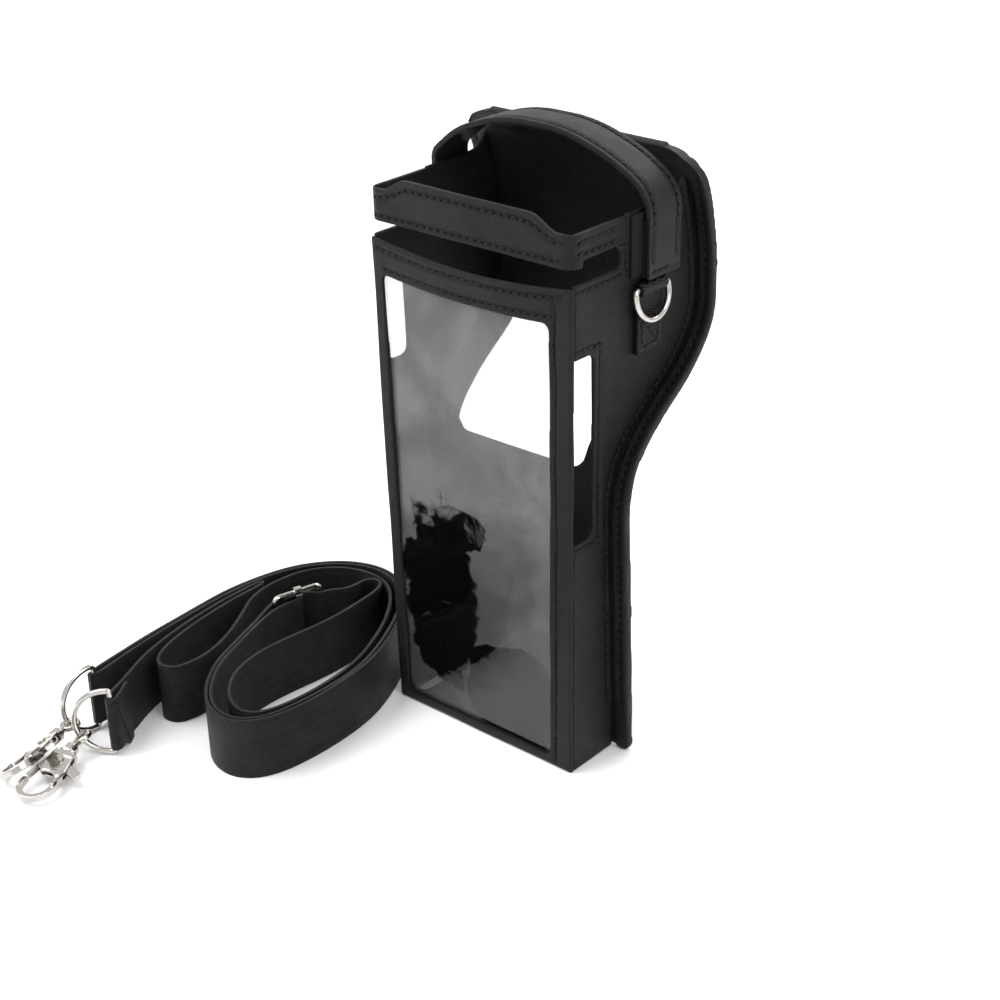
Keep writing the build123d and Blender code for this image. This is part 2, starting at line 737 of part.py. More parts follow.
loop_centre = body_start + 19.5
loop_out = (8.6, 7.6)
loop_in = (6.5, 5.5)
pin_at = (body_start + 6.0, 0.4)
with BuildPart() as hook_pattern:
    with BuildSketch(Plane.XY.offset(-plate_half)) as plate:
        with BuildLine():
            Polyline(
                (body_start, -4.2),
                (body_start, 4.2),
                (body_start + 12.5, 7.0),
                (body_start + 20.0, 7.2),
                (body_start + 19.0, 4.0),
                (body_start + 11.0, -5.6),
                close=True,
            )
        make_face()
        fillet(plate.vertices().sort_by(Axis.X)[:2], radius=1.2)
        with Locations((loop_centre, 0)):
            Ellipse(*loop_in, mode=Mode.SUBTRACT)
    extrude(amount=2 * plate_half)
    fillet(hook_pattern.edges().group_by(Axis.Z)[-1], radius=0.5)
    fillet(hook_pattern.edges().group_by(Axis.Z)[0], radius=0.5)
    with BuildSketch(along_x.offset(collar_start)):
        Circle(2.7)
    extrude(amount=body_start - collar_start + 0.5)
    with BuildSketch(Plane.XY.offset(-loop_half)):
        with Locations((loop_centre, 0)):
            Ellipse(*loop_out)
            Ellipse(*loop_in, mode=Mode.SUBTRACT)
            with Locations((-12.6, 0)):
                Rectangle(10, 20, mode=Mode.SUBTRACT)
        with Locations((loop_centre - 5.6, -4.5)):
            Rectangle(8.0, 8, mode=Mode.SUBTRACT)
    extrude(amount=2 * loop_half)
    with BuildSketch(Plane.XY.offset(-gate_thickness / 2 - gate_fit)):
        with Locations((body_start + 2.6, -10)):
            Rectangle(11.0, 20, align=(Align.MIN, Align.MIN))
    extrude(amount=gate_thickness + 2 * gate_fit, mode=Mode.SUBTRACT)
    with BuildSketch(along_x.offset(collar_start - 1)):
        Circle(post_radius + post_fit)
    extrude(amount=head_start - collar_start + 1, mode=Mode.SUBTRACT)
    with BuildSketch(along_x.offset(head_start - post_fit)):
        Circle(post_radius + 0.45 + post_fit)
    extrude(amount=0.9 + 2 * post_fit, mode=Mode.SUBTRACT)
    with Locations((*pin_at, 0)):
        Cylinder(pin_radius, 4 * plate_half, mode=Mode.SUBTRACT)

with BuildPart() as gate_pattern:
    with BuildSketch(Plane.XY.offset(-gate_thickness / 2)) as gate_shape:
        with Locations(pin_at):
            Circle(2.3)
        with BuildLine():
            Polyline(
                (pin_at[0] - 1.2, pin_at[1] - 1.9),
                (pin_at[0] + 4.0, -6.9),
                (loop_centre - 3.5, -7.9),
                (loop_centre - 3.1, -7.4),
                (loop_centre - 2.05, -5.6),
                (pin_at[0] + 4.6, -4.8),
                (pin_at[0] + 2.2, pin_at[1]),
                (pin_at[0] + 4.6, 5.8),
                (pin_at[0] + 7.2, 11.3),
                (pin_at[0] + 3.6, 12.4),
                (pin_at[0] + 0.6, 6.0),
                (pin_at[0] - 2.0, pin_at[1] + 1.0),
                close=True,
            )
        make_face()
        with Locations(pin_at):
            Circle(pin_radius + gate_fit, mode=Mode.SUBTRACT)
    extrude(amount=gate_thickness)

with BuildPart() as pin_pattern:
    with Locations((*pin_at, 0)):
        Cylinder(pin_radius, 2 * plate_half + 0.6)
    with Locations((*pin_at, plate_half), (*pin_at, -plate_half - 0.35)):
        Cylinder(pin_radius + 0.8, 0.35, align=(Align.CENTER, Align.CENTER, Align.MIN))

clasp_parts = []
for letter, eye_here, body_here in (("a", eye_a_plane, body_a_plane), ("b", eye_b_plane, body_b_plane)):
    for name, pattern, place in (
        ("swivel_eye", eye_pattern, eye_here),
        ("hook_body", hook_pattern, body_here),
        ("gate_lever", gate_pattern, body_here),
        ("gate_pin", pin_pattern, body_here),
    ):
        with BuildPart() as placed:
            add(pattern.part.moved(place.location))
        placed.part.label = f"{name}_{letter}"
        clasp_parts.append(placed)

for piece in (front_frame, clear_window, side_slotted_right, side_panel_left, back_panel,
              bottom_panel, collar_band, edge_binding, velcro_loop, velcro_hook, handle_strap,
              handle_tail, ring_tab_right, ring_tab_left, d_ring_right, d_ring_left,
              shoulder_strap, slider_frame, slider_bar, strap_ring_a, strap_ring_b, *clasp_parts):
    print(piece.part.label, round(piece.part.volume), len(piece.part.solids()), piece.part.bounding_box())
    export_step(piece.part, f"parts/{piece.part.label}.step")
for name, place in (("ring_right", ring_plane), ("ring_a", ring_a_plane), ("ring_b", ring_b_plane),
                    ("eye_a", eye_a_plane), ("eye_b", eye_b_plane), ("body_a", body_a_plane),
                    ("body_b", body_b_plane)):
    print(name, "origin", place.origin, "x", place.x_dir, "y", place.y_dir, "z", place.z_dir)
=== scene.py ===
import math

import bmesh
import bpy
from bpy.props import FloatProperty, FloatVectorProperty, PointerProperty
from bpy.types import Operator, Panel, PropertyGroup
from mathutils import Matrix, Vector, noise
from mathutils.bvhtree import BVHTree
from mathutils.kdtree import KDTree


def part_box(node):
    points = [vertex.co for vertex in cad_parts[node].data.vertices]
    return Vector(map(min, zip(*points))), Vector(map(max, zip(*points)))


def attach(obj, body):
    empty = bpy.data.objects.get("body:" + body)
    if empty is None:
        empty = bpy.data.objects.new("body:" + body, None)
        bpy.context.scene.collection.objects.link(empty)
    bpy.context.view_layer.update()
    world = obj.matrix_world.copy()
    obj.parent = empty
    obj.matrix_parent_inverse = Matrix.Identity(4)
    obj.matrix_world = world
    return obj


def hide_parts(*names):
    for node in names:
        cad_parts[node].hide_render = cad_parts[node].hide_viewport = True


bl_info = {
    "name": "Terminal carrying case",
    "version": (1, 0, 0),
    "blender": (4, 5, 0),
    "location": "View3D > Sidebar > Carrying case",
    "description": "Builds a leather carrying case with a clear front and its webbing shoulder strap",
    "category": "Object",
}

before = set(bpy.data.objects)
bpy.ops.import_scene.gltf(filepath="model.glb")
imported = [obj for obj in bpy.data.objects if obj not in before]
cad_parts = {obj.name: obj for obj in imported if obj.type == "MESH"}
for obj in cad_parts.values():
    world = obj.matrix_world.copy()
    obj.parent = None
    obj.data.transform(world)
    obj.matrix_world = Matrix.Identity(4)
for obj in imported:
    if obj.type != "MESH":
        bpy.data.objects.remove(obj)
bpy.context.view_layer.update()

MM = 0.001

# places shared with the part, in millimetres
front_y = -12.7
half_base = 44.0
slope = 2.6 / 190.4
collar_low = 196.7
collar_top = 208.6
collar_crown = 5.1
back_top = 224.5
corner_round = 14.0
stitch_inset = 3.0
flange = 7.0
back_curve = [
    (25.4, 0), (21.0, 104.0), (25.2, 120.0), (37.5, 133.0), (57.8, 147.0), (69.6, 162.4),
    (68.6, 186.4), (65.3, 203.4), (61.6, 214.4), (57.4, 224.5),
]
handle_near = 22.9
handle_wide = 18.0
wall_low = half_base + slope * 184.6 + 3.6
wall_high = half_base + slope * 214.1 + 3.6
handle_route = [
    (wall_low, 184.6), (wall_high, 214.1), (36.0, 223.1), (14.1, 230.6),
    (-14.1, 230.6), (-36.0, 223.1), (-48.05, 213.1), (-48.05, 207.1),
]
web_width = 25.0
web_thick = 1.3
slider_at = (-100.5, -13.7)
slider_turn = 75.5
ring_a_at = (-98.0, -112.0)
ring_b_at = (-118.0, -104.7)
fold_reach = 1.93


def wall_x(height):
    """Outer face of a side wall at a height."""
    return half_base + slope * height


# ---- settings --------------------------------------------------------------------------------
class LeatherSettings(PropertyGroup):
    """Sizes and colours of the leather shell and its sewing."""

    colour: FloatVectorProperty(
        name="Leather", description="Colour of the leather", subtype="COLOR",
        size=3, min=0, max=1, default=(0.0045, 0.0045, 0.0048),
    )
    sheen_roughness: FloatProperty(
        name="Roughness", description="How dull the leather is", default=0.43, min=0.1, max=1
    )
    grain: FloatProperty(
        name="Grain", description="Size of one grain cell", default=0.55 * MM, unit="LENGTH"
    )
    pitch: FloatProperty(
        name="Stitch pitch", description="From one stitch to the next", default=3.4 * MM, unit="LENGTH"
    )
    stitch: FloatProperty(
        name="Stitch length", description="Thread that shows between two holes", default=2.5 * MM,
        unit="LENGTH",
    )
    thread: FloatProperty(
        name="Thread", description="Thickness of the thread", default=0.62 * MM, unit="LENGTH"
    )
    thread_colour: FloatVectorProperty(
        name="Thread colour", description="Colour of the sewing thread", subtype="COLOR",
        size=3, min=0, max=1, default=(0.006, 0.006, 0.0065),
    )
    sink: FloatProperty(
        name="Sink", description="How far sewing pulls the leather in", default=0.5 * MM, unit="LENGTH"
    )


class FilmSettings(PropertyGroup):
    """The clear front."""

    # Haze colour: partly the film's own clouding, partly painted reflection of the bright surroundings.
    haze_and_reflection: FloatVectorProperty(
        name="Haze", description="Colour of the haze in the film", subtype="COLOR",
        size=3, min=0, max=1, default=(0.25, 0.255, 0.265),
    )
    cover: FloatProperty(
        name="Cover", description="Share of the film that hides what is behind it", default=0.3,
        min=0, max=1,
    )
    ripple: FloatProperty(
        name="Ripple", description="Height of the film's waves", default=0.3 * MM, unit="LENGTH"
    )


class StrapSettings(PropertyGroup):
    """The webbing shoulder strap."""

    colour: FloatVectorProperty(
        name="Webbing", description="Colour of the webbing", subtype="COLOR",
        size=3, min=0, max=1, default=(0.0026, 0.0026, 0.0028),
    )
    rib: FloatProperty(
        name="Rib", description="From one rib of the weave to the next", default=0.9 * MM, unit="LENGTH"
    )


class MetalSettings(PropertyGroup):
    """The plated rings and hooks."""

    colour: FloatVectorProperty(
        name="Plating", description="Colour of the nickel plate", subtype="COLOR",
        size=3, min=0, max=1, default=(0.56, 0.535, 0.5),
    )
    roughness: FloatProperty(
        name="Polish", description="Roughness of the plate", default=0.13, min=0, max=1
    )


class StudioSettings(PropertyGroup):
    """Floor, lights and camera."""

    floor: FloatVectorProperty(
        name="Floor", description="Colour of the floor", subtype="COLOR",
        size=3, min=0, max=1, default=(0.93, 0.93, 0.935),
    )
    fill: FloatProperty(name="Fill", description="Strength of the light from all round", default=0.9, min=0)
    key: FloatProperty(name="Key", description="Power of the large lamp", default=13.0, min=0, unit="POWER")
    lens: FloatProperty(name="Lens", description="Focal length on a 36 mm sensor", default=68.87, min=1)


# ---- shader groups ---------------------------------------------------------------------------
def add(tree, kind, values=(), settings=None, **inputs):
    """A node with its settings, its inputs given by place or by name."""
    node = tree.nodes.new(kind)
    for key, value in (settings or {}).items():
        setattr(node, key, value)
    named = [(node.inputs[name.replace("_", " ")], value) for name, value in inputs.items()]
    for socket, value in list(zip(node.inputs, values)) + named:
        if value is None:
            continue
        if isinstance(value, bpy.types.NodeSocket):
            tree.links.new(value, socket)
        else:
            socket.default_value = value
    return node


def sums(tree, operation, *values):
    """The result of one Math node."""
    return add(tree, "ShaderNodeMath", values, {"operation": operation}).outputs[0]


def between(tree, value, low, high, to_low=0.0, to_high=1.0):
    """A value carried smoothly from one range to another."""
    node = add(
        tree, "ShaderNodeMapRange", (value, low, high, to_low, to_high), {"interpolation_type": "SMOOTHSTEP"}
    )
    return node.outputs[0]


def start_group(name, inputs, outputs):
    """An empty shader group with named sockets."""
    tree = bpy.data.node_groups.new(name, "ShaderNodeTree")
    for label, kind, value in inputs:
        socket = tree.interface.new_socket(label, in_out="INPUT", socket_type=kind)
        if value is not None:
            socket.default_value = value
    for label, kind in outputs:
        tree.interface.new_socket(label, in_out="OUTPUT", socket_type=kind)
    return tree, tree.nodes.new("NodeGroupInput"), tree.nodes.new("NodeGroupOutput")


def group_of_grain():
    """Pebbled leather grain with fine pores and long soft creases."""
    if "Leather grain" in bpy.data.node_groups:
        return bpy.data.node_groups["Leather grain"]
    tree, given, out = start_group(
        "Leather grain",
        [("Vector", "NodeSocketVector", None), ("Cell", "NodeSocketFloat", 0.0005),
         ("Creases", "NodeSocketFloat", 0.5)],
        [("Height", "NodeSocketFloat"), ("Tone", "NodeSocketFloat")],
    )
    scale = sums(tree, "DIVIDE", 1.0, given.outputs["Cell"])
    bend = add(tree, "ShaderNodeTexNoise", Vector=given.outputs["Vector"], Scale=900.0, Detail=2.0)
    shift = add(
        tree, "ShaderNodeVectorMath", (bend.outputs["Color"], (0.0004, 0.0004, 0.0004)),
        {"operation": "MULTIPLY"},
    )
    place = add(
        tree, "ShaderNodeVectorMath", (given.outputs["Vector"], shift.outputs[0]), {"operation": "ADD"}
    )
    cells = add(
        tree, "ShaderNodeTexVoronoi", settings={"feature": "DISTANCE_TO_EDGE"},
        Vector=place.outputs[0], Scale=scale,
    )
    pebble = between(tree, cells.outputs["Distance"], 0.0, 0.22)
    fine = add(tree, "ShaderNodeTexNoise", Vector=given.outputs["Vector"], Scale=5200.0, Detail=3.0)
    crease = add(
        tree, "ShaderNodeTexNoise", settings={"noise_type": "RIDGED_MULTIFRACTAL"},
        Vector=given.outputs["Vector"], Scale=55.0, Detail=3.0, Roughness=0.5,
    )
    fold = sums(tree, "MULTIPLY", between(tree, crease.outputs[0], 0.9, 1.6), given.outputs["Creases"])
    height = sums(tree, "MULTIPLY_ADD", fine.outputs[0], 0.35, pebble)
    tree.links.new(sums(tree, "SUBTRACT", height, fold), out.inputs["Height"])
    patch = add(tree, "ShaderNodeTexNoise", Vector=given.outputs["Vector"], Scale=38.0, Detail=4.0)
    tree.links.new(between(tree, patch.outputs[0], 0.3, 0.7), out.inputs["Tone"])
    return tree


def group_of_weave():
    """Ribs across a band with the warp's fine ends between them."""
    if "Woven ribs" in bpy.data.node_groups:
        return bpy.data.node_groups["Woven ribs"]
    tree, given, out = start_group(
        "Woven ribs",
        [("Along", "NodeSocketFloat", None), ("Across", "NodeSocketFloat", None),
         ("Rib", "NodeSocketFloat", 0.0009)],
        [("Height", "NodeSocketFloat"), ("Tone", "NodeSocketFloat")],
    )
    turn = sums(tree, "DIVIDE", 2 * math.pi, given.outputs["Rib"])
    slant = sums(tree, "PINGPONG", given.outputs["Across"], 0.0021)
    along = sums(tree, "MULTIPLY_ADD", slant, 0.42, given.outputs["Along"])
    rib = sums(tree, "SINE", sums(tree, "MULTIPLY", along, turn))
    ends = sums(tree, "MULTIPLY", turn, 1.6)
    warp = sums(tree, "SINE", sums(tree, "MULTIPLY", given.outputs["Across"], ends))
    both = sums(tree, "MULTIPLY_ADD", rib, 0.6, sums(tree, "MULTIPLY", warp, 0.4))
    place = add(tree, "ShaderNodeCombineXYZ", (given.outputs["Along"], given.outputs["Across"], 0.0))
    lint = add(tree, "ShaderNodeTexNoise", Vector=place.outputs[0], Scale=2600.0, Detail=3.0)
    tree.links.new(sums(tree, "MULTIPLY_ADD", lint.outputs[0], 0.5, both), out.inputs["Height"])
    broad = add(tree, "ShaderNodeTexNoise", Vector=place.outputs[0], Scale=90.0, Detail=4.0)
    tree.links.new(sums(tree, "MULTIPLY_ADD", rib, 0.12, broad.outputs[0]), out.inputs["Tone"])
    return tree


def group_of_handling():
    """Soft patches and hair scratches left by use."""
    if "Handling marks" in bpy.data.node_groups:
        return bpy.data.node_groups["Handling marks"]
    tree, given, out = start_group(
        "Handling marks",
        [("Vector", "NodeSocketVector", None), ("Scale", "NodeSocketFloat", 60.0)],
        [("Smudge", "NodeSocketFloat"), ("Scratch", "NodeSocketFloat")],
    )
    smudge = add(
        tree, "ShaderNodeTexNoise", Vector=given.outputs["Vector"], Scale=given.outputs["Scale"], Detail=5.0,
        Roughness=0.6, Distortion=0.6,
    )
    tree.links.new(between(tree, smudge.outputs[0], 0.35, 0.7), out.inputs["Smudge"])
    long_way = add(
        tree, "ShaderNodeMapping", settings={"vector_type": "TEXTURE"}, Vector=given.outputs["Vector"],
        Scale=(0.02, 0.001, 0.004), Rotation=(0.5, 0.8, 0.3),
    )
    hair = add(tree, "ShaderNodeTexNoise", Vector=long_way.outputs[0], Scale=1.6, Detail=2.0)
    tree.links.new(between(tree, hair.outputs[0], 0.62, 0.7), out.inputs["Scratch"])
    return tree


def blank(name):
    """A new material with its tree and its shader."""
    material = bpy.data.materials.new(name)
    material.use_nodes = True
    tree = material.node_tree
    return material, tree, tree.nodes["Principled BSDF"]


def made(name):
    """A material that an earlier operator made."""
    return bpy.data.materials.get(name)


def leather(name="Case leather", creases=0.5, roughness=None, tone=1.0):
    """Fine-grained black leather."""
    if made(name):
        return made(name)
    choice = bpy.context.scene.case_leather
    material, tree, shader = blank(name)
    place = add(tree, "ShaderNodeTexCoord").outputs["Object"]
    grain = add(tree, "ShaderNodeGroup", settings={"node_tree": group_of_grain()})
    tree.links.new(place, grain.inputs["Vector"])
    grain.inputs["Cell"].default_value = choice.grain
    grain.inputs["Creases"].default_value = creases
    marks = add(tree, "ShaderNodeGroup", settings={"node_tree": group_of_handling()})
    tree.links.new(place, marks.inputs["Vector"])
    dark = [c * 0.75 * tone for c in choice.colour] + [1]
    light = [c * 1.35 * tone for c in choice.colour] + [1]
    colour = add(
        tree, "ShaderNodeMix", settings={"data_type": "RGBA"},
    )
    tree.links.new(grain.outputs["Tone"], colour.inputs[0])
    colour.inputs[6].default_value = dark
    colour.inputs[7].default_value = light
    tree.links.new(colour.outputs[2], shader.inputs["Base Color"])
    level = roughness or choice.sheen_roughness
    tree.links.new(
        between(tree, marks.outputs["Smudge"], 0.0, 1.0, level - 0.05, level + 0.07), shader.inputs["Roughness"]
    )
    bump = add(tree, "ShaderNodeBump", Strength=0.8, Distance=0.00014, Height=grain.outputs["Height"])
    tree.links.new(bump.outputs[0], shader.inputs["Normal"])
    shader.inputs["Specular IOR Level"].default_value = 0.2
    return material


def thread():
    """Twisted polyester sewing thread, with painted shade on the discs marked hole at the stitch ends."""
    if made("Sewing thread"):
        return made("Sewing thread")
    material, tree, shader = blank("Sewing thread")
    place = add(tree, "ShaderNodeTexCoord").outputs["Object"]
    ply = add(
        tree, "ShaderNodeTexWave", settings={"bands_direction": "DIAGONAL"}, Vector=place, Scale=900.0,
        Distortion=1.5, Detail=2.0,
    )
    colour = add(tree, "ShaderNodeMix", settings={"data_type": "RGBA"})
    tree.links.new(ply.outputs["Fac"], colour.inputs[0])
    base = bpy.context.scene.case_leather.thread_colour
    colour.inputs[6].default_value = [c * 0.5 for c in base] + [1]
    colour.inputs[7].default_value = [c * 1.8 for c in base] + [1]
    # Painted shade: where the attribute hole is set, the thread colour is scaled nearly to black and made fully
    # rough. This stands in for the shade inside the needle holes.
    hole = add(tree, "ShaderNodeAttribute", settings={"attribute_name": "hole"}).outputs["Fac"]
    shade = add(tree, "ShaderNodeVectorMath", (colour.outputs[2],), {"operation": "SCALE"})
    tree.links.new(between(tree, hole, 0.0, 1.0, 1.0, 0.04), shade.inputs["Scale"])
    tree.links.new(shade.outputs[0], shader.inputs["Base Color"])
    tree.links.new(between(tree, hole, 0.0, 1.0, 0.42, 1.0), shader.inputs["Roughness"])
    bump = add(tree, "ShaderNodeBump", Strength=0.4, Distance=0.0001, Height=ply.outputs["Fac"])
    tree.links.new(bump.outputs[0], shader.inputs["Normal"])
    shader.inputs["Specular IOR Level"].default_value = 0.2
    return material


def webbing(name="Webbing", along="UV", rib=None, edge=True):
    """Ribbed webbing, its pattern laid by UV or by height and depth."""
    if made(name):
        return made(name)
    choice = bpy.context.scene.case_strap
    material, tree, shader = blank(name)
    if along == "UV":
        place = add(tree, "ShaderNodeUVMap", settings={"uv_map": "run"}).outputs[0]
        split = add(tree, "ShaderNodeSeparateXYZ", (place,))
        run, across = split.outputs[0], split.outputs[1]
    else:
        split = add(tree, "ShaderNodeSeparateXYZ", (add(tree, "ShaderNodeTexCoord").outputs["Object"],))
        run, across = split.outputs[2], split.outputs[1]
    weave = add(tree, "ShaderNodeGroup", settings={"node_tree": group_of_weave()})
    tree.links.new(run, weave.inputs["Along"])
    tree.links.new(across, weave.inputs["Across"])
    weave.inputs["Rib"].default_value = rib or choice.rib
    tone = between(tree, weave.outputs["Tone"], 0.3, 0.72, 0.35, 2.1)
    if edge:
        side = sums(tree, "ABSOLUTE", sums(tree, "SUBTRACT", across, web_width * MM / 2))
        selvedge = between(tree, side, 0.0111, 0.0121, 1.0, 1.15)
        tone = sums(tree, "MULTIPLY", tone, selvedge)
    colour = add(tree, "ShaderNodeVectorMath", settings={"operation": "SCALE"})
    colour.inputs[0].default_value = choice.colour
    tree.links.new(tone, colour.inputs["Scale"])
    tree.links.new(colour.outputs[0], shader.inputs["Base Color"])
    tree.links.new(between(tree, weave.outputs["Tone"], 0.2, 0.85, 0.5, 0.36), shader.inputs["Roughness"])
    bump = add(tree, "ShaderNodeBump", Strength=0.9, Distance=0.0003, Height=weave.outputs["Height"])
    tree.links.new(bump.outputs[0], shader.inputs["Normal"])
    shader.inputs["Specular IOR Level"].default_value = 0.24
    return material


def fuzz(name="Hook and loop tape"):
    """Loop pile of fastening tape."""
    if made(name):
        return made(name)
    material, tree, shader = blank(name)
    place = add(tree, "ShaderNodeTexCoord").outputs["Object"]
    pile = add(tree, "ShaderNodeTexVoronoi", Vector=place, Scale=1900.0)
    curl = add(tree, "ShaderNodeTexNoise", Vector=place, Scale=2600.0, Detail=4.0, Distortion=1.2)
    colour = add(tree, "ShaderNodeMix", settings={"data_type": "RGBA"})
    tree.links.new(curl.outputs[0], colour.inputs[0])
    colour.inputs[6].default_value = (0.002, 0.002, 0.002, 1)
    colour.inputs[7].default_value = (0.014, 0.014, 0.015, 1)
    tree.links.new(colour.outputs[2], shader.inputs["Base Color"])
    height = sums(tree, "ADD", pile.outputs["Distance"], curl.outputs[0])
    bump = add(tree, "ShaderNodeBump", Strength=0.9, Distance=0.0003, Height=height)
    tree.links.new(bump.outputs[0], shader.inputs["Normal"])
    shader.inputs["Roughness"].default_value = 0.85
    shader.inputs["Specular IOR Level"].default_value = 0.2
    return material


def plated(name="Nickel plate"):
    """Bright nickel with hair scratches and finger smudges."""
    if made(name):
        return made(name)
    choice = bpy.context.scene.case_metal
    material, tree, shader = blank(name)
    place = add(tree, "ShaderNodeTexCoord").outputs["Object"]
    marks = add(tree, "ShaderNodeGroup", settings={"node_tree": group_of_handling()})
    tree.links.new(place, marks.inputs["Vector"])
    marks.inputs["Scale"].default_value = 260.0
    colour = add(tree, "ShaderNodeMix", settings={"data_type": "RGBA"})
    tree.links.new(marks.outputs["Smudge"], colour.inputs[0])
    colour.inputs[6].default_value = [*choice.colour, 1]
    colour.inputs[7].default_value = [c * 0.86 for c in choice.colour] + [1]
    tree.links.new(colour.outputs[2], shader.inputs["Base Color"])
    dull = sums(tree, "MULTIPLY_ADD", marks.outputs["Scratch"], 0.12, choice.roughness)
    dull = sums(tree, "MULTIPLY_ADD", marks.outputs["Smudge"], 0.07, dull)
    tree.links.new(dull, shader.inputs["Roughness"])
    cast = add(tree, "ShaderNodeTexNoise", Vector=place, Scale=420.0, Detail=2.0)
    bump = add(tree, "ShaderNodeBump", Strength=0.12, Distance=0.0003, Height=cast.outputs[0])
    tree.links.new(bump.outputs[0], shader.inputs["Normal"])
    shader.inputs["Metallic"].default_value = 1.0
    return material


def patch(tree, place, centre, reach, rough):
    """A ragged patch round a centre on the film: 1 inside it, 0 outside."""
    away = add(tree, "ShaderNodeVectorMath", (place, [c * MM for c in centre]), {"operation": "SUBTRACT"})
    shrunk = add(
        tree, "ShaderNodeVectorMath", (away.outputs[0], [1 / (r * MM) for r in reach]),
        {"operation": "MULTIPLY"},
    )
    far = add(tree, "ShaderNodeVectorMath", (shrunk.outputs[0],), {"operation": "LENGTH"}).outputs["Value"]
    torn = sums(tree, "MULTIPLY_ADD", sums(tree, "SUBTRACT", rough, 0.5), 1.15, far)
    return between(tree, torn, 0.93, 1.03, 1.0, 0.0)


def clear_film():
    """Clear film, hazed, with clear wet-looking patches where it clings. Its grey haze colour is partly the
    film's own clouding and partly painted reflection of the bright surroundings, darker towards the bottom; in
    the cling patches that painted reflection is left out and the film is near-black.
    """
    if made("Clear film"):
        return made("Clear film")
    choice = bpy.context.scene.case_film
    material, tree, shader = blank("Clear film")
    place = add(tree, "ShaderNodeTexCoord").outputs["Object"]
    ragged = add(tree, "ShaderNodeTexNoise", Vector=place, Scale=85.0, Detail=6.0, Roughness=0.62).outputs[0]
    gentle = add(tree, "ShaderNodeTexNoise", Vector=place, Scale=40.0, Detail=3.0, Roughness=0.45).outputs[0]
    cling = patch(tree, place, (-21.0, -11.0, 52.0), (19.0, 40.0, 40.0), ragged)
    cling = sums(tree, "MAXIMUM", cling, patch(tree, place, (-8.0, -11.0, 84.0), (12.0, 40.0, 9.0), ragged))
    cling = sums(tree, "MAXIMUM", cling, patch(tree, place, (17.0, -11.0, 16.0), (24.0, 40.0, 27.0), gentle))
    marks = add(tree, "ShaderNodeGroup", settings={"node_tree": group_of_handling()})
    tree.links.new(place, marks.inputs["Vector"])
    marks.inputs["Scale"].default_value = 24.0
    cloud = between(tree, marks.outputs["Smudge"], 0.0, 1.0, 0.82, 1.1)
    # Painted reflection: the grey haze colour stands partly for the bright surroundings mirrored in the film
    # and partly for the film's own clouding.
    haze_and_reflection = add(tree, "ShaderNodeVectorMath", settings={"operation": "SCALE"})
    haze_and_reflection.inputs[0].default_value = choice.haze_and_reflection
    height = add(tree, "ShaderNodeSeparateXYZ", (place,)).outputs[2]
    # Painted reflection falloff: the haze is darker towards the bottom of the film.
    reflection_falloff = between(tree, height, 0.0, 0.15, 0.5, 1.0)
    tree.links.new(sums(tree, "MULTIPLY", cloud, reflection_falloff), haze_and_reflection.inputs["Scale"])
    # In the cling patches the painted reflection is left out, so the film is near-black there.
    colour = add(tree, "ShaderNodeMix", settings={"data_type": "RGBA"})
    tree.links.new(cling, colour.inputs[0])
    tree.links.new(haze_and_reflection.outputs[0], colour.inputs[6])
    colour.inputs[7].default_value = (0.0015, 0.0015, 0.002, 1)
    tree.links.new(colour.outputs[2], shader.inputs["Base Color"])
    cover = sums(tree, "MULTIPLY", cloud, choice.cover)
    tree.links.new(sums(tree, "MULTIPLY_ADD", cling, 0.55, cover), shader.inputs["Alpha"])
    tree.links.new(between(tree, cling, 0.0, 1.0, 0.16, 0.05), shader.inputs["Roughness"])
    wave = add(tree, "ShaderNodeTexNoise", Vector=place, Scale=75.0, Detail=2.0, Distortion=1.0)
    height = sums(tree, "MULTIPLY_ADD", cling, -0.4, wave.outputs[0])
    bump = add(tree, "ShaderNodeBump", Strength=0.35, Distance=0.001, Height=height)
    tree.links.new(bump.outputs[0], shader.inputs["Normal"])
    shader.inputs["Coat Weight"].default_value = 0.6
    shader.inputs["Coat Roughness"].default_value = 0.06
    return material


# ---- making pieces ---------------------------------------------------------------------------
def mesh_of(work, name):
    """The finished shape as a mesh."""
    mesh = bpy.data.meshes.new(name)
    work.to_mesh(mesh)
    work.free()
    return mesh


def show(mesh_or_object, name, body, slot, material, *replaced):
    """A finished piece: shaded smooth, painted, riding on its body."""
    piece = mesh_or_object
    if isinstance(piece, bpy.types.Mesh):
        piece = bpy.data.objects.new(name, mesh_or_object)
        bpy.context.scene.collection.objects.link(piece)
    piece.data.materials.clear()
    piece.data.materials.append(material)
    piece.data.polygons.foreach_set("use_smooth", [True] * len(piece.data.polygons))
    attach(piece, body)
    if replaced:
        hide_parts(*replaced)
    return piece


def paint(node, material):
    """A better material on a CAD node."""
    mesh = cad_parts[node].data
    mesh.materials.clear()
    mesh.materials.append(material)


def softened(name, cell, rounds, *nodes):
    """An evenly divided copy of CAD nodes as one mesh, with its edges rounded over."""
    work = bmesh.new()
    for node in nodes:
        work.from_mesh(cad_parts[node].data)
    bmesh.ops.remove_doubles(work, verts=work.verts, dist=1e-6)
    mesh = mesh_of(work, name)
    helper = bpy.data.objects.new(name + "_work", mesh)
    bpy.context.scene.collection.objects.link(helper)
    even = helper.modifiers.new("even", "REMESH")
    even.mode = "VOXEL"
    even.voxel_size = cell * MM
    rounding = helper.modifiers.new("round", "SMOOTH")
    rounding.factor = 0.5
    rounding.iterations = rounds
    seen = helper.evaluated_get(bpy.context.evaluated_depsgraph_get())
    result = bpy.data.meshes.new_from_object(seen)
    bpy.data.objects.remove(helper)
    bpy.data.meshes.remove(mesh)
    result.name = name
    return result


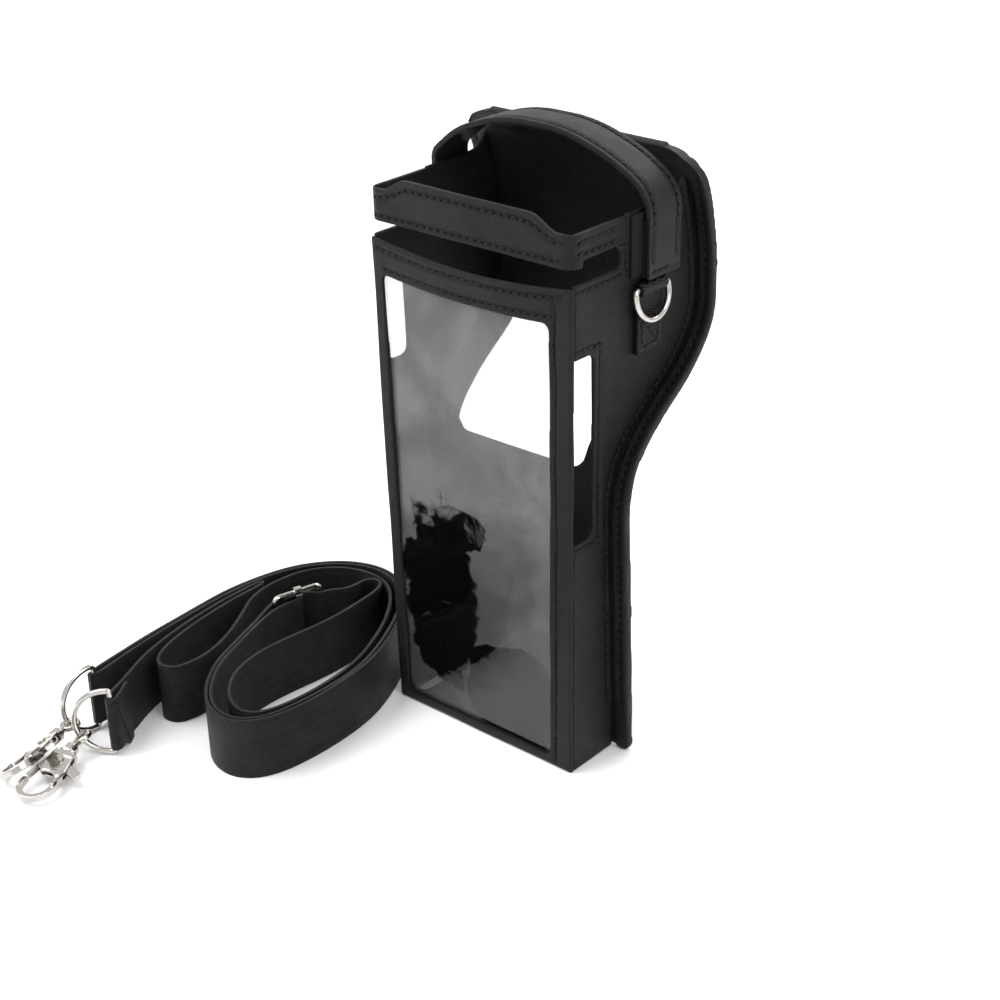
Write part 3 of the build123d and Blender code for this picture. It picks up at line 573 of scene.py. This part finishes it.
def tree_of(mesh):
    """The mesh as a tree that rays can be cast at."""
    work = bmesh.new()
    work.from_mesh(mesh)
    tree = BVHTree.FromBMesh(work)
    work.free()
    return tree


def evenly(points, pitch):
    """Points along a run, each the same distance from the last."""
    found = [points[0]]
    left = pitch
    for start, end in zip(points, points[1:]):
        length = (end - start).length
        gone = 0.0
        while length - gone >= left:
            gone += left
            found.append(start.lerp(end, gone / length))
            left = pitch
        left -= length - gone
    return found


def smooth_run(points, steps=8):
    """Points along one smooth curve guided by its route's corners."""
    curve = bpy.data.curves.new("run", "CURVE")
    curve.dimensions = "3D"
    curve.resolution_u = steps
    spline = curve.splines.new("NURBS")
    spline.points.add(len(points) - 1)
    for guide, point in zip(spline.points, points):
        guide.co = (*point, 1)
    spline.order_u = 3
    spline.use_endpoint_u = True
    helper = bpy.data.objects.new("run", curve)
    mesh = bpy.data.meshes.new_from_object(helper)
    found = [v.co.copy() for v in mesh.vertices]
    bpy.data.objects.remove(helper)
    bpy.data.curves.remove(curve)
    bpy.data.meshes.remove(mesh)
    return found


def laid(tree, points, way):
    """A run of points carried along a direction onto a surface: (place, normal) pairs."""
    found = []
    for point in points:
        aim = way(point) if callable(way) else Vector(way)
        place, normal, index, far = tree.ray_cast(point - aim * 0.03, aim)
        if place is not None and far < 0.05:
            found.append((place, normal))
    return found


def pushed(mesh, amount):
    """Every vertex moved along its normal by an amount found from its place."""
    normals = [vertex.normal.copy() for vertex in mesh.vertices]
    places = [vertex.co.copy() for vertex in mesh.vertices]
    shifted = [place + normal * amount(place) for place, normal in zip(places, normals)]
    mesh.vertices.foreach_set("co", [c for place in shifted for c in place])
    mesh.update()


def pressed(mesh, rows, depth, reach=0.95 * MM):
    """Sewing pulls the leather in along its rows."""
    lines = [point for row in rows for point in evenly([p for p, n in row], 0.5 * MM) if len(row) > 1]
    if not lines:
        return
    finder = KDTree(len(lines))
    for index, point in enumerate(lines):
        finder.insert(point, index)
    finder.balance()
    def inward(place):
        far = finder.find(place)[2]
        return -depth * math.exp(-((far / reach) ** 2)) if far < 3 * reach else 0.0

    pushed(mesh, inward)


def waved(mesh, height, size, seed):
    """Slow uneven waves over a soft panel."""
    start = Vector((seed, 0.3 * seed, 1.7 * seed))
    pushed(mesh, lambda place: height * MM * noise.noise(place / (size * MM) + start))


def stitched(name, rows, body, surface, *, tilt=0.16):
    """Sewing thread along rows of (place, normal) pairs, sunk in the leather, with a painted-shade disc at each
    stitch end for the needle hole.
    """
    choice = bpy.context.scene.case_leather
    work = bmesh.new()
    hole = work.faces.layers.float.new("hole")
    for row in rows:
        if len(row) < 2:
            continue
        points = evenly([p for p, n in row], choice.pitch)
        finder = KDTree(len(row))
        for index, (place, normal) in enumerate(row):
            finder.insert(place, index)
        finder.balance()
        for here, there in zip(points, points[1:]):
            middle = (here + there) / 2
            out = row[finder.find(middle)[1]][1]
            place, normal, index, far = surface.find_nearest(middle + out * 0.0008)
            out = normal if normal.dot(out) > 0 else out
            along = (there - here).normalized()
            along = (along - out * along.dot(out)).normalized()
            side = out.cross(along)
            along = (along + side * tilt).normalized()
            side = out.cross(along)
            turn = Matrix((along, side, out)).transposed().to_4x4()
            size = Matrix.Diagonal((choice.stitch / 2, choice.thread / 2, choice.thread / 2.4, 1))
            sit = Matrix.Translation(place + out * 0.12 * MM)
            bmesh.ops.create_uvsphere(work, u_segments=8, v_segments=6, radius=1, matrix=sit @ turn @ size)
            # Painted shade: a flattened disc at each stitch end, marked hole so that the thread material paints
            # it near-black as the shade in the needle hole.
            ends = place - along * choice.pitch / 2 + out * 0.02 * MM
            hole_shade_disc = Matrix.Diagonal((0.62 * MM, 0.5 * MM, 0.1 * MM, 1))
            hole_shade_verts = bmesh.ops.create_uvsphere(
                work, u_segments=8, v_segments=6, radius=1, matrix=Matrix.Translation(ends) @ turn @ hole_shade_disc
            )["verts"]
            for face in {f for v in hole_shade_verts for f in v.link_faces}:
                face[hole] = 1.0
    mesh = mesh_of(work, name)
    return show(mesh, name, body, "leather", thread())


def sewn(name, mesh, rows, body, material, *replaced, depth=None):
    """A leather panel with its sewing: the panel pressed along the rows, then the thread on it."""
    sink = bpy.context.scene.case_leather.sink if depth is None else depth
    pressed(mesh, rows, sink)
    piece = show(mesh, name, body, "leather", material, *replaced)
    if rows:
        stitched(name + "_thread", rows, body, tree_of(mesh))
    return piece


def dense(corners, lift=None):
    """A run through corners in a plane, as close points; lift turns each pair into a place."""
    points = []
    for (u0, v0), (u1, v1) in zip(corners, corners[1:]):
        count = max(2, int(math.hypot(u1 - u0, v1 - v0)))
        for step in range(count):
            share = step / count
            points.append(lift(u0 + (u1 - u0) * share, v0 + (v1 - v0) * share))
    points.append(lift(*corners[-1]))
    return points


def droop(place):
    """How the soft head of the front panel bows out and down at its middle."""
    rise = min(max((place.z / MM - 130) / 58, 0), 1) ** 2
    bow = max(0.0, 1 - (place.x / MM / 46.0) ** 2)
    return place + Vector((0, -2.1, -2.9)) * MM * rise * bow


def on_front(u, v):
    return droop(Vector((u, front_y, v)) * MM)


def on_side(hand):
    """Places on a side wall from depth behind the front face and height."""
    return lambda depth, height: Vector((hand * wall_x(height), front_y + depth, height)) * MM


def cornered(place):
    """The back's square top corners drawn in to round ones."""
    centre_x = (wall_x(back_top) + flange) * MM - corner_round * MM
    centre_z = (back_top - corner_round) * MM
    across, up = abs(place.x) - centre_x, place.z - centre_z
    if across <= 0 or up <= 0:
        return place
    share = min(1.0, corner_round * MM / math.hypot(across, up))
    return Vector((math.copysign(centre_x + across * share, place.x), place.y, centre_z + up * share))


# ---- operators -------------------------------------------------------------------------------
class CASE_OT_front(Operator):
    """Front border, with its head bowed as soft leather is, and the clear film behind it"""

    bl_idname = "case.front"
    bl_label = "Front and film"

    def execute(self, context):
        border = softened("front_border", 0.5, 4, "front_frame")
        waved(border, 0.3, 30, 4.0)
        for vertex in border.vertices:
            vertex.co = droop(vertex.co)
        surface = tree_of(border)
        into = (0, 1, 0)
        rows = [
            laid(surface, dense([(-43.0, 187.3), (43.0, 187.3)], on_front), into),
            laid(surface, dense([(-39.5, 180.0), (38.6, 180.0)], on_front), into),
            laid(surface, dense([(36.6, 3.0), (39.1, 187.3)], on_front), into),
        ]
        sewn("front_border", border, rows, "case", leather(), "front_frame")

        low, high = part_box("clear_window")
        work = bmesh.new()
        bmesh.ops.create_grid(work, x_segments=46, y_segments=96, size=1)
        for vertex in work.verts:
            across, up = vertex.co.x, (vertex.co.y + 1) / 2
            height = low.z + (high.z - low.z) * up
            half = (wall_x(height / MM) - 2.2) * MM
            middle = (low.y + high.y) / 2
            vertex.co = droop(Vector((across * half, middle, height)))
            ripple = noise.noise(vertex.co / (26 * MM)) + 0.5 * noise.noise(vertex.co / (9 * MM))
            edge = min(1.0, 4 * (1 - abs(across)), 8 * up, 8 * (1 - up))
            vertex.co.y += context.scene.case_film.ripple * ripple * edge
        bmesh.ops.recalc_face_normals(work, faces=work.faces)
        bmesh.ops.solidify(work, geom=work.faces[:], thickness=0.35 * MM)
        bmesh.ops.recalc_face_normals(work, faces=work.faces)
        film = mesh_of(work, "film")
        show(film, "front_film", "case", "clear_film", clear_film(), "clear_window")
        return {"FINISHED"}


class CASE_OT_sides(Operator):
    """Side walls with their slots and gaps edged by sewing"""

    bl_idname = "case.sides"
    bl_label = "Side walls"

    def execute(self, context):
        slots = {
            1: [(2.2, 167.4), (15.7, 167.4), (15.7, 92.2), (2.2, 92.2)],
            -1: [(2.0, 139.4), (19.0, 139.4), (19.0, 180.6), (2.0, 180.6), (2.0, 139.4)],
        }
        seam = [(depth - 2.6, height) for depth, height in back_curve[:-1]]
        for hand, label in ((1, "right"), (-1, "left")):
            wall = softened(f"side_wall_{label}", 0.58, 4, f"side_panel_{label}")
            waved(wall, 0.35, 34, 7.0 * hand)
            surface = tree_of(wall)
            place = on_side(hand)
            into = (-hand, 0, 0)
            back_row = smooth_run([Vector((0, depth, height)) * MM for depth, height in seam])
            back_row = [place(p.y / MM, p.z / MM) for p in back_row if p.z > 0.003]
            rows = [
                laid(surface, dense(slots[hand], place), into),
                laid(surface, dense([(1.6, 188.5), (29.2, 188.5), (29.2, 200.0)], place), into),
                laid(surface, back_row, into),
            ]
            sewn(f"side_wall_{label}", wall, rows, "case", leather(), f"side_panel_{label}")
        floor = softened("foot", 0.7, 3, "bottom_panel")
        sewn("foot", floor, [], "case", leather(), "bottom_panel")
        return {"FINISHED"}


class CASE_OT_back(Operator):
    """Padded back with its folded edge, sewn round"""

    bl_idname = "case.back"
    bl_label = "Back"

    def execute(self, context):
        back = softened("back_pad", 0.82, 5, "back_panel", "edge_binding")
        waved(back, 0.4, 40, 2.0)
        for vertex in back.vertices:
            vertex.co = cornered(vertex.co)
        surface = tree_of(back)
        heights = [p.z for p in smooth_run([Vector((0, d, h)) * MM for d, h in back_curve])]
        rows = []
        for hand in (1, -1):
            for way in ((0, 1, 0), (0, -1, 0)):
                run = []
                for height in heights:
                    if height > 0.2215 or height < 0.002:
                        continue
                    side = (wall_x(height / MM) + flange - stitch_inset) * MM * hand
                    start = cornered(Vector((side, -0.02 if way[1] > 0 else 0.09, height)))
                    place, normal, index, far = surface.ray_cast(start, Vector(way))
                    if place is not None:
                        run.append((place, normal))
                rows.append(run)
        edge = wall_x(220) + 4
        head = dense([(-edge, 221.5), (edge, 221.5)], lambda u, v: cornered(Vector((u, 55, v)) * MM))
        rows.append(laid(surface, head, (0, -1, 0)))
        hole = [(-34.5, 109.0), (34.5, 109.0), (34.5, 155.5), (-34.5, 155.5), (-34.5, 109.0)]
        round_hole = []
        for point in dense(hole, lambda u, v: Vector((u, 90, v)) * MM):
            place, normal, index, far = surface.ray_cast(point, Vector((0, -1, 0)))
            if place is not None:
                round_hole.append((place, normal))
        rows.append(round_hole)
        sewn("back_pad", back, rows, "case", leather(), "back_panel", "edge_binding")
        return {"FINISHED"}


class CASE_OT_collar(Operator):
    """Collar round the open top, sewn along both edges"""

    bl_idname = "case.collar"
    bl_label = "Collar"

    def execute(self, context):
        band = softened("collar", 0.5, 4, "collar_band")
        waved(band, 0.22, 22, 9.0)
        surface = tree_of(band)
        face = lambda u, v: Vector((u, front_y, v)) * MM
        crown = collar_top + collar_crown - 2.9
        top = [(-43.5, 205.6), (-38.0, 205.7), (-31.0, 209.4), (-27.5, crown), (27.5, crown), (31.0, 209.4),
               (38.0, 205.7), (43.5, 205.6)]
        rows = [
            laid(surface, dense(top, face), (0, 1, 0)),
            laid(surface, dense([(-43.5, collar_low + 2.5), (43.5, collar_low + 2.5)], face), (0, 1, 0)),
        ]
        for hand in (1, -1):
            place = on_side(hand)
            for height in (201.8, 205.7):
                rows.append(laid(surface, dense([(4.0, height), (27.5, height)], place), (-hand, 0, 0)))
        sewn("collar", band, rows, "case", leather(), "collar_band")
        return {"FINISHED"}


class CASE_OT_handle(Operator):
    """Handle strap, its tail on the left wall and the fastening patches"""

    bl_idname = "case.handle"
    bl_label = "Handle"

    def execute(self, context):
        strap = softened("handle", 0.5, 4, "handle_strap")
        waved(strap, 0.2, 24, 12.0)
        surface = tree_of(strap)
        line = smooth_run([Vector((x, 0, z)) * MM for x, z in handle_route])
        middle = Vector((0, 0, 185)) * MM
        rows = []
        for near in (handle_near + 2.5, handle_near + handle_wide - 2.5):
            run = []
            for before, here, after in zip(line, line[1:], line[2:]):
                along = (after - before).normalized()
                out = Vector((-along.z, 0, along.x))
                out = out if out.dot(here - middle) > 0 else -out
                start = here + out * 6 * MM + Vector((0, near * MM, 0))
                place, normal, index, far = surface.ray_cast(start, -out)
                if place is not None and far < 0.009 and place.z > 0.1866:
                    run.append((place, normal))
            rows.append(run)
        across = [Vector((60, handle_near + 2.5 + step, 187.0)) * MM for step in range(14)]
        end = []
        for point in across:
            place, normal, index, far = surface.ray_cast(point, Vector((-1, 0, 0)))
            if place is not None:
                end.append((place, normal))
        rows.append(end)
        sewn("handle", strap, rows, "handle", leather("Handle leather", 0.2, 0.4, 1.3), "handle_strap")

        tail = softened("handle_tail_strap", 0.5, 3, "handle_tail")
        surface = tree_of(tail)
        place = on_side(-1)
        near, far = handle_near - front_y + 2.5, handle_near - front_y + handle_wide - 2.5
        frame_run = [(near, 205.0), (near, 187.3), (far, 187.3), (far, 205.0)]
        rows = [laid(surface, dense(frame_run, place), (1, 0, 0))]
        sewn("handle_tail_strap", tail, rows, "case", leather("Handle leather"), "handle_tail")

        for node, body, seed in (("velcro_loop", "case", 3), ("velcro_hook", "handle", 8)):
            tape = softened(node + "_tape", 0.3, 1, node)
            waved(tape, 0.1, 0.7, seed)
            piece = show(tape, node + "_tape", body, "velcro", fuzz(), node)
        return {"FINISHED"}


class CASE_OT_rings(Operator):
    """Ring tabs of webbing and the plated rings that hang in them"""

    bl_idname = "case.rings"
    bl_label = "Ring tabs and rings"

    def execute(self, context):
        for hand, label in ((1, "right"), (-1, "left")):
            tab = softened(f"tab_{label}", 0.33, 2, f"ring_tab_{label}")
            surface = tree_of(tab)
            place = on_side(hand)
            box = [(35.5, 170.5), (44.5, 170.5), (44.5, 160.0), (35.5, 160.0), (35.5, 170.5), (44.5, 160.0)]
            rows = [laid(surface, dense(box, place), (-hand, 0, 0))]
            pressed(tab, rows, 0.25 * MM)
            show(tab, f"tab_{label}", "case", "webbing", webbing("Tab webbing", "place", 1.1 * MM, False),
                 f"ring_tab_{label}")
            stitched(f"tab_{label}_thread", rows, "case", tree_of(tab))
            paint(f"d_ring_{label}", plated())
        return {"FINISHED"}


class CASE_OT_strap(Operator):
    """Shoulder strap of ribbed webbing standing on its edge in folds"""

    bl_idname = "case.strap"
    bl_label = "Shoulder strap"

    def execute(self, context):
        line = smooth_run([Vector((x - half_base, y + front_y, 0)) * MM for x, y in strap_route()], 6)
        line = evenly(line, 1.2 * MM)
        work = bmesh.new()
        station = work.verts.layers.float.new("station")
        uv = work.loops.layers.uv.new("run")
        feet = [work.verts.new(point) for point in line]
        for index, foot in enumerate(feet):
            foot[station] = index * 1.2 * MM
        edges = [work.edges.new(pair) for pair in zip(feet, feet[1:])]
        rows = 10
        for row in range(rows):
            grown = bmesh.ops.extrude_edge_only(work, edges=edges)["geom"]
            edges = [g for g in grown if isinstance(g, bmesh.types.BMEdge)]
            edges = [e for e in edges if all(v in grown for v in e.verts)]
            lifted = [g for g in grown if isinstance(g, bmesh.types.BMVert)]
            bmesh.ops.translate(work, verts=lifted, vec=(0, 0, web_width * MM / rows))
        for face in work.faces:
            for loop in face.loops:
                loop[uv].uv = (loop.vert[station], loop.vert.co.z)
        bars = [(ring_a_at, 4.4, 2.9), (ring_b_at, 4.4, 2.9), (slider_at, 11.5, 4.6)]
        for vertex in work.verts:
            low = 0.0
            for place, reach, lift in bars:
                far = math.hypot(vertex.co.x / MM - place[0], vertex.co.y / MM - place[1])
                low = max(low, lift * min(1.0, max(0.0, (reach + 3 - far) / 3)))
            share = vertex.co.z / (web_width * MM)
            slack = noise.noise(Vector((vertex[station] / 0.03, 0, 4)))
            vertex.co.z = (low + (web_width - low) * share) * MM + 0.35 * MM * share * slack
        bmesh.ops.recalc_face_normals(work, faces=work.faces)
        mesh = mesh_of(work, "strap")
        piece = show(mesh, "strap_webbing", "strap", "webbing", webbing(), "shoulder_strap")
        body = piece.modifiers.new("cloth", "SOLIDIFY")
        body.thickness = web_thick * MM
        body.offset = 0
        body.use_even_offset = True
        soft = piece.modifiers.new("edge", "BEVEL")
        soft.width = 0.3 * MM
        soft.segments = 2
        soft.limit_method = "ANGLE"
        soft.angle_limit = math.radians(60)
        sewing = self.sew(line)
        for node in ("slider_frame", "slider_bar", "strap_ring_a", "strap_ring_b"):
            paint(node, plated())
        return {"FINISHED"}

    def sew(self, line):
        """The sewn ends: slanted rows through both layers beside the slider and beside the ring at the strap's
        far end.
        """
        choice = bpy.context.scene.case_leather
        work = bmesh.new()
        last = len(line) - 2
        spots = []
        for step in range(8):
            share = step / 7
            spots.append((int(last - 3 - 6 * share), 2.5 + 20 * share, 1))
            spots.append((int(8 + 3 * share), 5.5 + 17 * share, -1))
        for index, height, hand in spots:
            index = min(max(index, 1), last)
            along = (line[index + 1] - line[index - 1]).normalized()
            side = Vector((-along.y, along.x, 0)) * hand
            lean = (Vector((0, 0, 1)) + along * 0.3).normalized()
            for face in (1, -1):
                place = line[index] + Vector((0, 0, height * MM)) + side * face * (web_thick / 2 + 0.08) * MM
                turn = Matrix((lean, side.cross(lean), side)).transposed().to_4x4()
                size = Matrix.Diagonal((1.05 * MM, choice.thread / 2, choice.thread / 3, 1))
                bmesh.ops.create_uvsphere(
                    work, u_segments=8, v_segments=6, radius=1, matrix=Matrix.Translation(place) @ turn @ size
                )
        mesh = mesh_of(work, "strap_sewing")
        return show(mesh, "strap_sewing", "strap", "webbing", thread())


def beside(points, distance):
    """A route's inner corners moved to its left."""
    moved = []
    for before, corner, after in zip(points, points[1:], points[2:]):
        heading_in = math.atan2(corner[1] - before[1], corner[0] - before[0])
        heading_out = math.atan2(after[1] - corner[1], after[0] - corner[0])
        turn = math.atan2(math.sin(heading_out - heading_in), math.cos(heading_out - heading_in))
        middle = heading_in + turn / 2
        reach = distance / math.cos(turn / 2)
        moved.append((corner[0] - reach * math.sin(middle), corner[1] + reach * math.cos(middle)))
    return moved


def at_slider(along, near):
    """A place beside the slider, along the strap and towards the front."""
    angle = math.radians(slider_turn)
    return (
        -56.5 + along * math.cos(angle) + near * math.sin(angle),
        -1.0 + along * math.sin(angle) - near * math.cos(angle),
    )


def around(place, arrive, side):
    """The corners of the strap's fold round a bar."""
    angle = math.radians(arrive)
    ahead = (fold_reach * math.cos(angle), fold_reach * math.sin(angle))
    across = (-fold_reach * side * math.sin(angle), fold_reach * side * math.cos(angle))
    return [
        (place[0] + across[0] + ahead[0], place[1] + across[1] + ahead[1]),
        (place[0] - across[0] + ahead[0], place[1] - across[1] + ahead[1]),
    ]


def strap_route():
    """The strap's route on the floor from the slider bar to the last sewn end."""
    ring_a, ring_b = (-54.0, -99.3), (-74.0, -92.0)
    double_run = [
        at_slider(-14.5, 0.3), (-54.0, -25.0), (-48.5, -39.5), (-42.5, -56.5), (-32.0, -70.5), (-20.0, -79.5),
        (-7.0, -80.5), (2.5, -71.0), (5.2, -48.0), (3.2, -22.0), (-4.2, -2.0), (-16.0, 19.0), (-30.0, 33.5),
        (-46.0, 38.5), (-62.5, 34.0), (-76.5, 18.0), (-83.0, -6.0), (-81.5, -36.0), (-78.0, -68.0), ring_b,
    ]
    single_run = [
        at_slider(-10.5, -2.4), at_slider(-3.5, -3.7), at_slider(3.2, -3.7), at_slider(8.6, 2.2),
        at_slider(13.5, 2.2), (-45.2, 18.0), (-45.8, 30.0), (-36.2, 30.0), (-33.5, 10.0), (-33.0, -8.0),
        (-35.5, -27.0), (-36.0, -44.0), (-31.0, -59.0), (-20.5, -70.5), (-8.5, -74.5), (-1.0, -68.5),
        (1.6, -49.0), (-0.2, -25.0), (-8.0, -4.0), (-19.5, 15.5), (-32.5, 29.3), (-46.0, 33.6), (-61.0, 29.5),
        (-71.3, 17.5), (-74.0, 0.0), (-71.5, -13.0), (-63.0, -26.0), (-55.5, -40.0), (-51.3, -52.0),
        (-50.5, -62.0), (-52.5, -70.5), (-60.5, -72.0), (-67.0, -64.0), (-71.3, -50.0), (-74.3, -34.0),
        (-75.8, -18.0), (-76.4, -1.0), (-79.2, -1.0), (-78.7, -20.0), (-76.9, -40.0), (-73.3, -57.0),
        (-68.3, -73.0), (-61.5, -86.5),
    ]
    wrap = 1.85
    start = [at_slider(-5.0, -wrap), at_slider(wrap, -wrap), at_slider(wrap, wrap), at_slider(-10.5, 2.2)]
    fold_b = around(ring_b, 279.5, 1)
    fold_a = around(ring_a, 293.2, -1)
    end = [(-53.3, -96.0), (-59.1, -87.6)]
    near, far = beside(double_run, 0.9), beside(double_run, -0.9)
    return start + near + fold_b + far[::-1] + single_run + fold_a + end


class CASE_OT_clasps(Operator):
    """Plated swivel hooks at the strap's ends"""

    bl_idname = "case.clasps"
    bl_label = "Swivel hooks"

    def execute(self, context):
        places = {
            "a": ((-107.835, -120.252, 7.202), (0.2988, -0.9476, -0.1132), (0.9537, 0.3007, 0.0)),
            "b": ((-118.896, -117.507, 7.202), (0.1905, -0.9803, -0.0523), (0.8378, 0.1346, 0.5292)),
        }
        for end, (origin, along, across) in places.items():
            for node in ("swivel_eye_", "gate_pin_"):
                paint(node + end, plated())
            origin = Vector(origin) * MM
            along, across = Vector(along).normalized(), Vector(across).normalized()
            out = along.cross(across).normalized()
            body = softened(f"hook_{end}", 0.24, 3, f"hook_body_{end}")
            self.recess(body, origin, along, across, out)
            show(body, f"hook_{end}", f"hook_{end}", "plated_steel", plated(), f"hook_body_{end}")
            lever = softened(f"gate_{end}", 0.2, 3, f"gate_lever_{end}")
            show(lever, f"gate_{end}", f"gate_{end}", "plated_steel", plated(), f"gate_lever_{end}")
            work = bmesh.new()
            for side in (1, -1):
                middle = origin + (along * 15.1 + across * 0.4 + out * side * 2.1) * MM
                turn = Matrix((along, across, out)).transposed().to_4x4()
                cap = Matrix.Diagonal((1.7 * MM, 1.7 * MM, 0.55 * MM, 1))
                bmesh.ops.create_uvsphere(
                    work, u_segments=24, v_segments=12, radius=1,
                    matrix=Matrix.Translation(middle) @ turn @ cap,
                )
            mesh = mesh_of(work, "rivet")
            show(mesh, f"rivet_{end}", f"hook_{end}", "plated_steel", plated())
        return {"FINISHED"}

    def recess(self, mesh, origin, along, across, out):
        """The plate's middle cast lower than the rim round it."""
        local = []
        for vertex in mesh.vertices:
            away = (vertex.co - origin) / MM
            local.append(Vector((away.dot(along), away.dot(across), away.dot(out))))
        rim = [place for place in local if abs(place.z) < 0.8]
        finder = KDTree(len(rim))
        for index, place in enumerate(rim):
            finder.insert(Vector((place.x, place.y, 0)), index)
        finder.balance()
        for vertex, place in zip(mesh.vertices, local):
            if abs(place.z) < 1.5 or place.x < 9.5:
                continue
            inside = finder.find(Vector((place.x, place.y, 0)))[2] - 0.9
            share = min(max(inside / 0.35, 0), 1)
            vertex.co = vertex.co - out * math.copysign(0.38 * MM * share, place.z)


class CASE_OT_studio(Operator):
    """Pale floor, soft lamps and the camera"""

    bl_idname = "case.studio"
    bl_label = "Studio"

    def execute(self, context):
        choice = context.scene.case_studio
        work = bmesh.new()
        bmesh.ops.create_grid(work, x_segments=1, y_segments=1, size=6)
        mesh = mesh_of(work, "floor")
        floor = bpy.data.objects.new("floor", mesh)
        floor.location = (0, 0, -0.0002)
        context.scene.collection.objects.link(floor)
        material, tree, shader = blank("Pale floor")
        shader.inputs["Base Color"].default_value = (*choice.floor, 1)
        shader.inputs["Roughness"].default_value = 0.55
        shader.inputs["Specular IOR Level"].default_value = 0.15
        mesh.materials.append(material)

        world = bpy.data.worlds.new("Studio")
        world.use_nodes = True
        world.node_tree.nodes["Background"].inputs[0].default_value = (1, 1, 1, 1)
        world.node_tree.nodes["Background"].inputs[1].default_value = choice.fill
        context.scene.world = world

        lamps = [
            ("key", (-0.55, -0.5, 1.1), (0.9, 0.9), choice.key),
            ("side", (0.95, -0.1, 0.75), (0.5, 0.9), choice.key * 0.45),
            ("rear", (-0.1, 0.95, 0.9), (1.0, 0.5), choice.key * 0.5),
        ]
        for name, place, size, power in lamps:
            light = bpy.data.lights.new(name, "AREA")
            light.shape = "RECTANGLE"
            light.size, light.size_y = size
            light.energy = power
            lamp = bpy.data.objects.new(name, light)
            lamp.location = place
            aim = Vector((-0.02, -0.02, 0.08)) - Vector(place)
            lamp.rotation_euler = aim.to_track_quat("-Z", "Y").to_euler()
            context.scene.collection.objects.link(lamp)

        camera = bpy.data.objects.new("camera", bpy.data.cameras.new("camera"))
        camera.data.lens = choice.lens
        camera.data.sensor_width = 36
        yaw, pitch, roll = (math.radians(a) for a in (42.27, 26.26, -1.58))
        ahead = Vector((-math.sin(yaw) * math.cos(pitch), math.cos(yaw) * math.cos(pitch), -math.sin(pitch)))
        right = ahead.cross(Vector((0, 0, 1))).normalized()
        up = right.cross(ahead)
        right, up = (
            right * math.cos(roll) + up * math.sin(roll), up * math.cos(roll) - right * math.sin(roll)
        )
        camera.matrix_world = Matrix.Translation(Vector((424.9, -466.4, 406.3)) * MM) @ Matrix(
            (right, up, -ahead)
        ).transposed().to_4x4()
        context.scene.collection.objects.link(camera)
        context.scene.camera = camera
        context.scene.view_settings.view_transform = "Standard"
        return {"FINISHED"}


OPERATORS = (
    CASE_OT_studio, CASE_OT_front, CASE_OT_sides, CASE_OT_back, CASE_OT_collar, CASE_OT_handle,
    CASE_OT_rings, CASE_OT_strap, CASE_OT_clasps,
)


class CASE_PT_panel(Panel):
    """Lists the case's pieces in the sidebar"""

    bl_idname = "CASE_PT_panel"
    bl_label = "Carrying case"
    bl_space_type = "VIEW_3D"
    bl_region_type = "UI"
    bl_category = "Carrying case"

    def draw(self, context):
        for operator in OPERATORS:
            self.layout.operator(operator.bl_idname)
        for group in ("case_leather", "case_film", "case_strap", "case_metal", "case_studio"):
            box = self.layout.box()
            settings = getattr(context.scene, group)
            for name in settings.bl_rna.properties.keys():
                if name not in ("rna_type", "name"):
                    box.prop(settings, name)


SETTINGS = (
    ("case_leather", LeatherSettings), ("case_film", FilmSettings), ("case_strap", StrapSettings),
    ("case_metal", MetalSettings), ("case_studio", StudioSettings),
)


def register():
    for name, group in SETTINGS:
        bpy.utils.register_class(group)
        setattr(bpy.types.Scene, name, PointerProperty(type=group))
    for operator in OPERATORS:
        bpy.utils.register_class(operator)
    bpy.utils.register_class(CASE_PT_panel)


def unregister():
    bpy.utils.unregister_class(CASE_PT_panel)
    for operator in reversed(OPERATORS):
        bpy.utils.unregister_class(operator)
    for name, group in reversed(SETTINGS):
        delattr(bpy.types.Scene, name)
        bpy.utils.unregister_class(group)


def main():
    """Registers the add-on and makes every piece."""
    register()
    for operator in OPERATORS:
        group, name = operator.bl_idname.split(".")
        getattr(getattr(bpy.ops, group), name)()


if __name__ == "__main__":
    main()
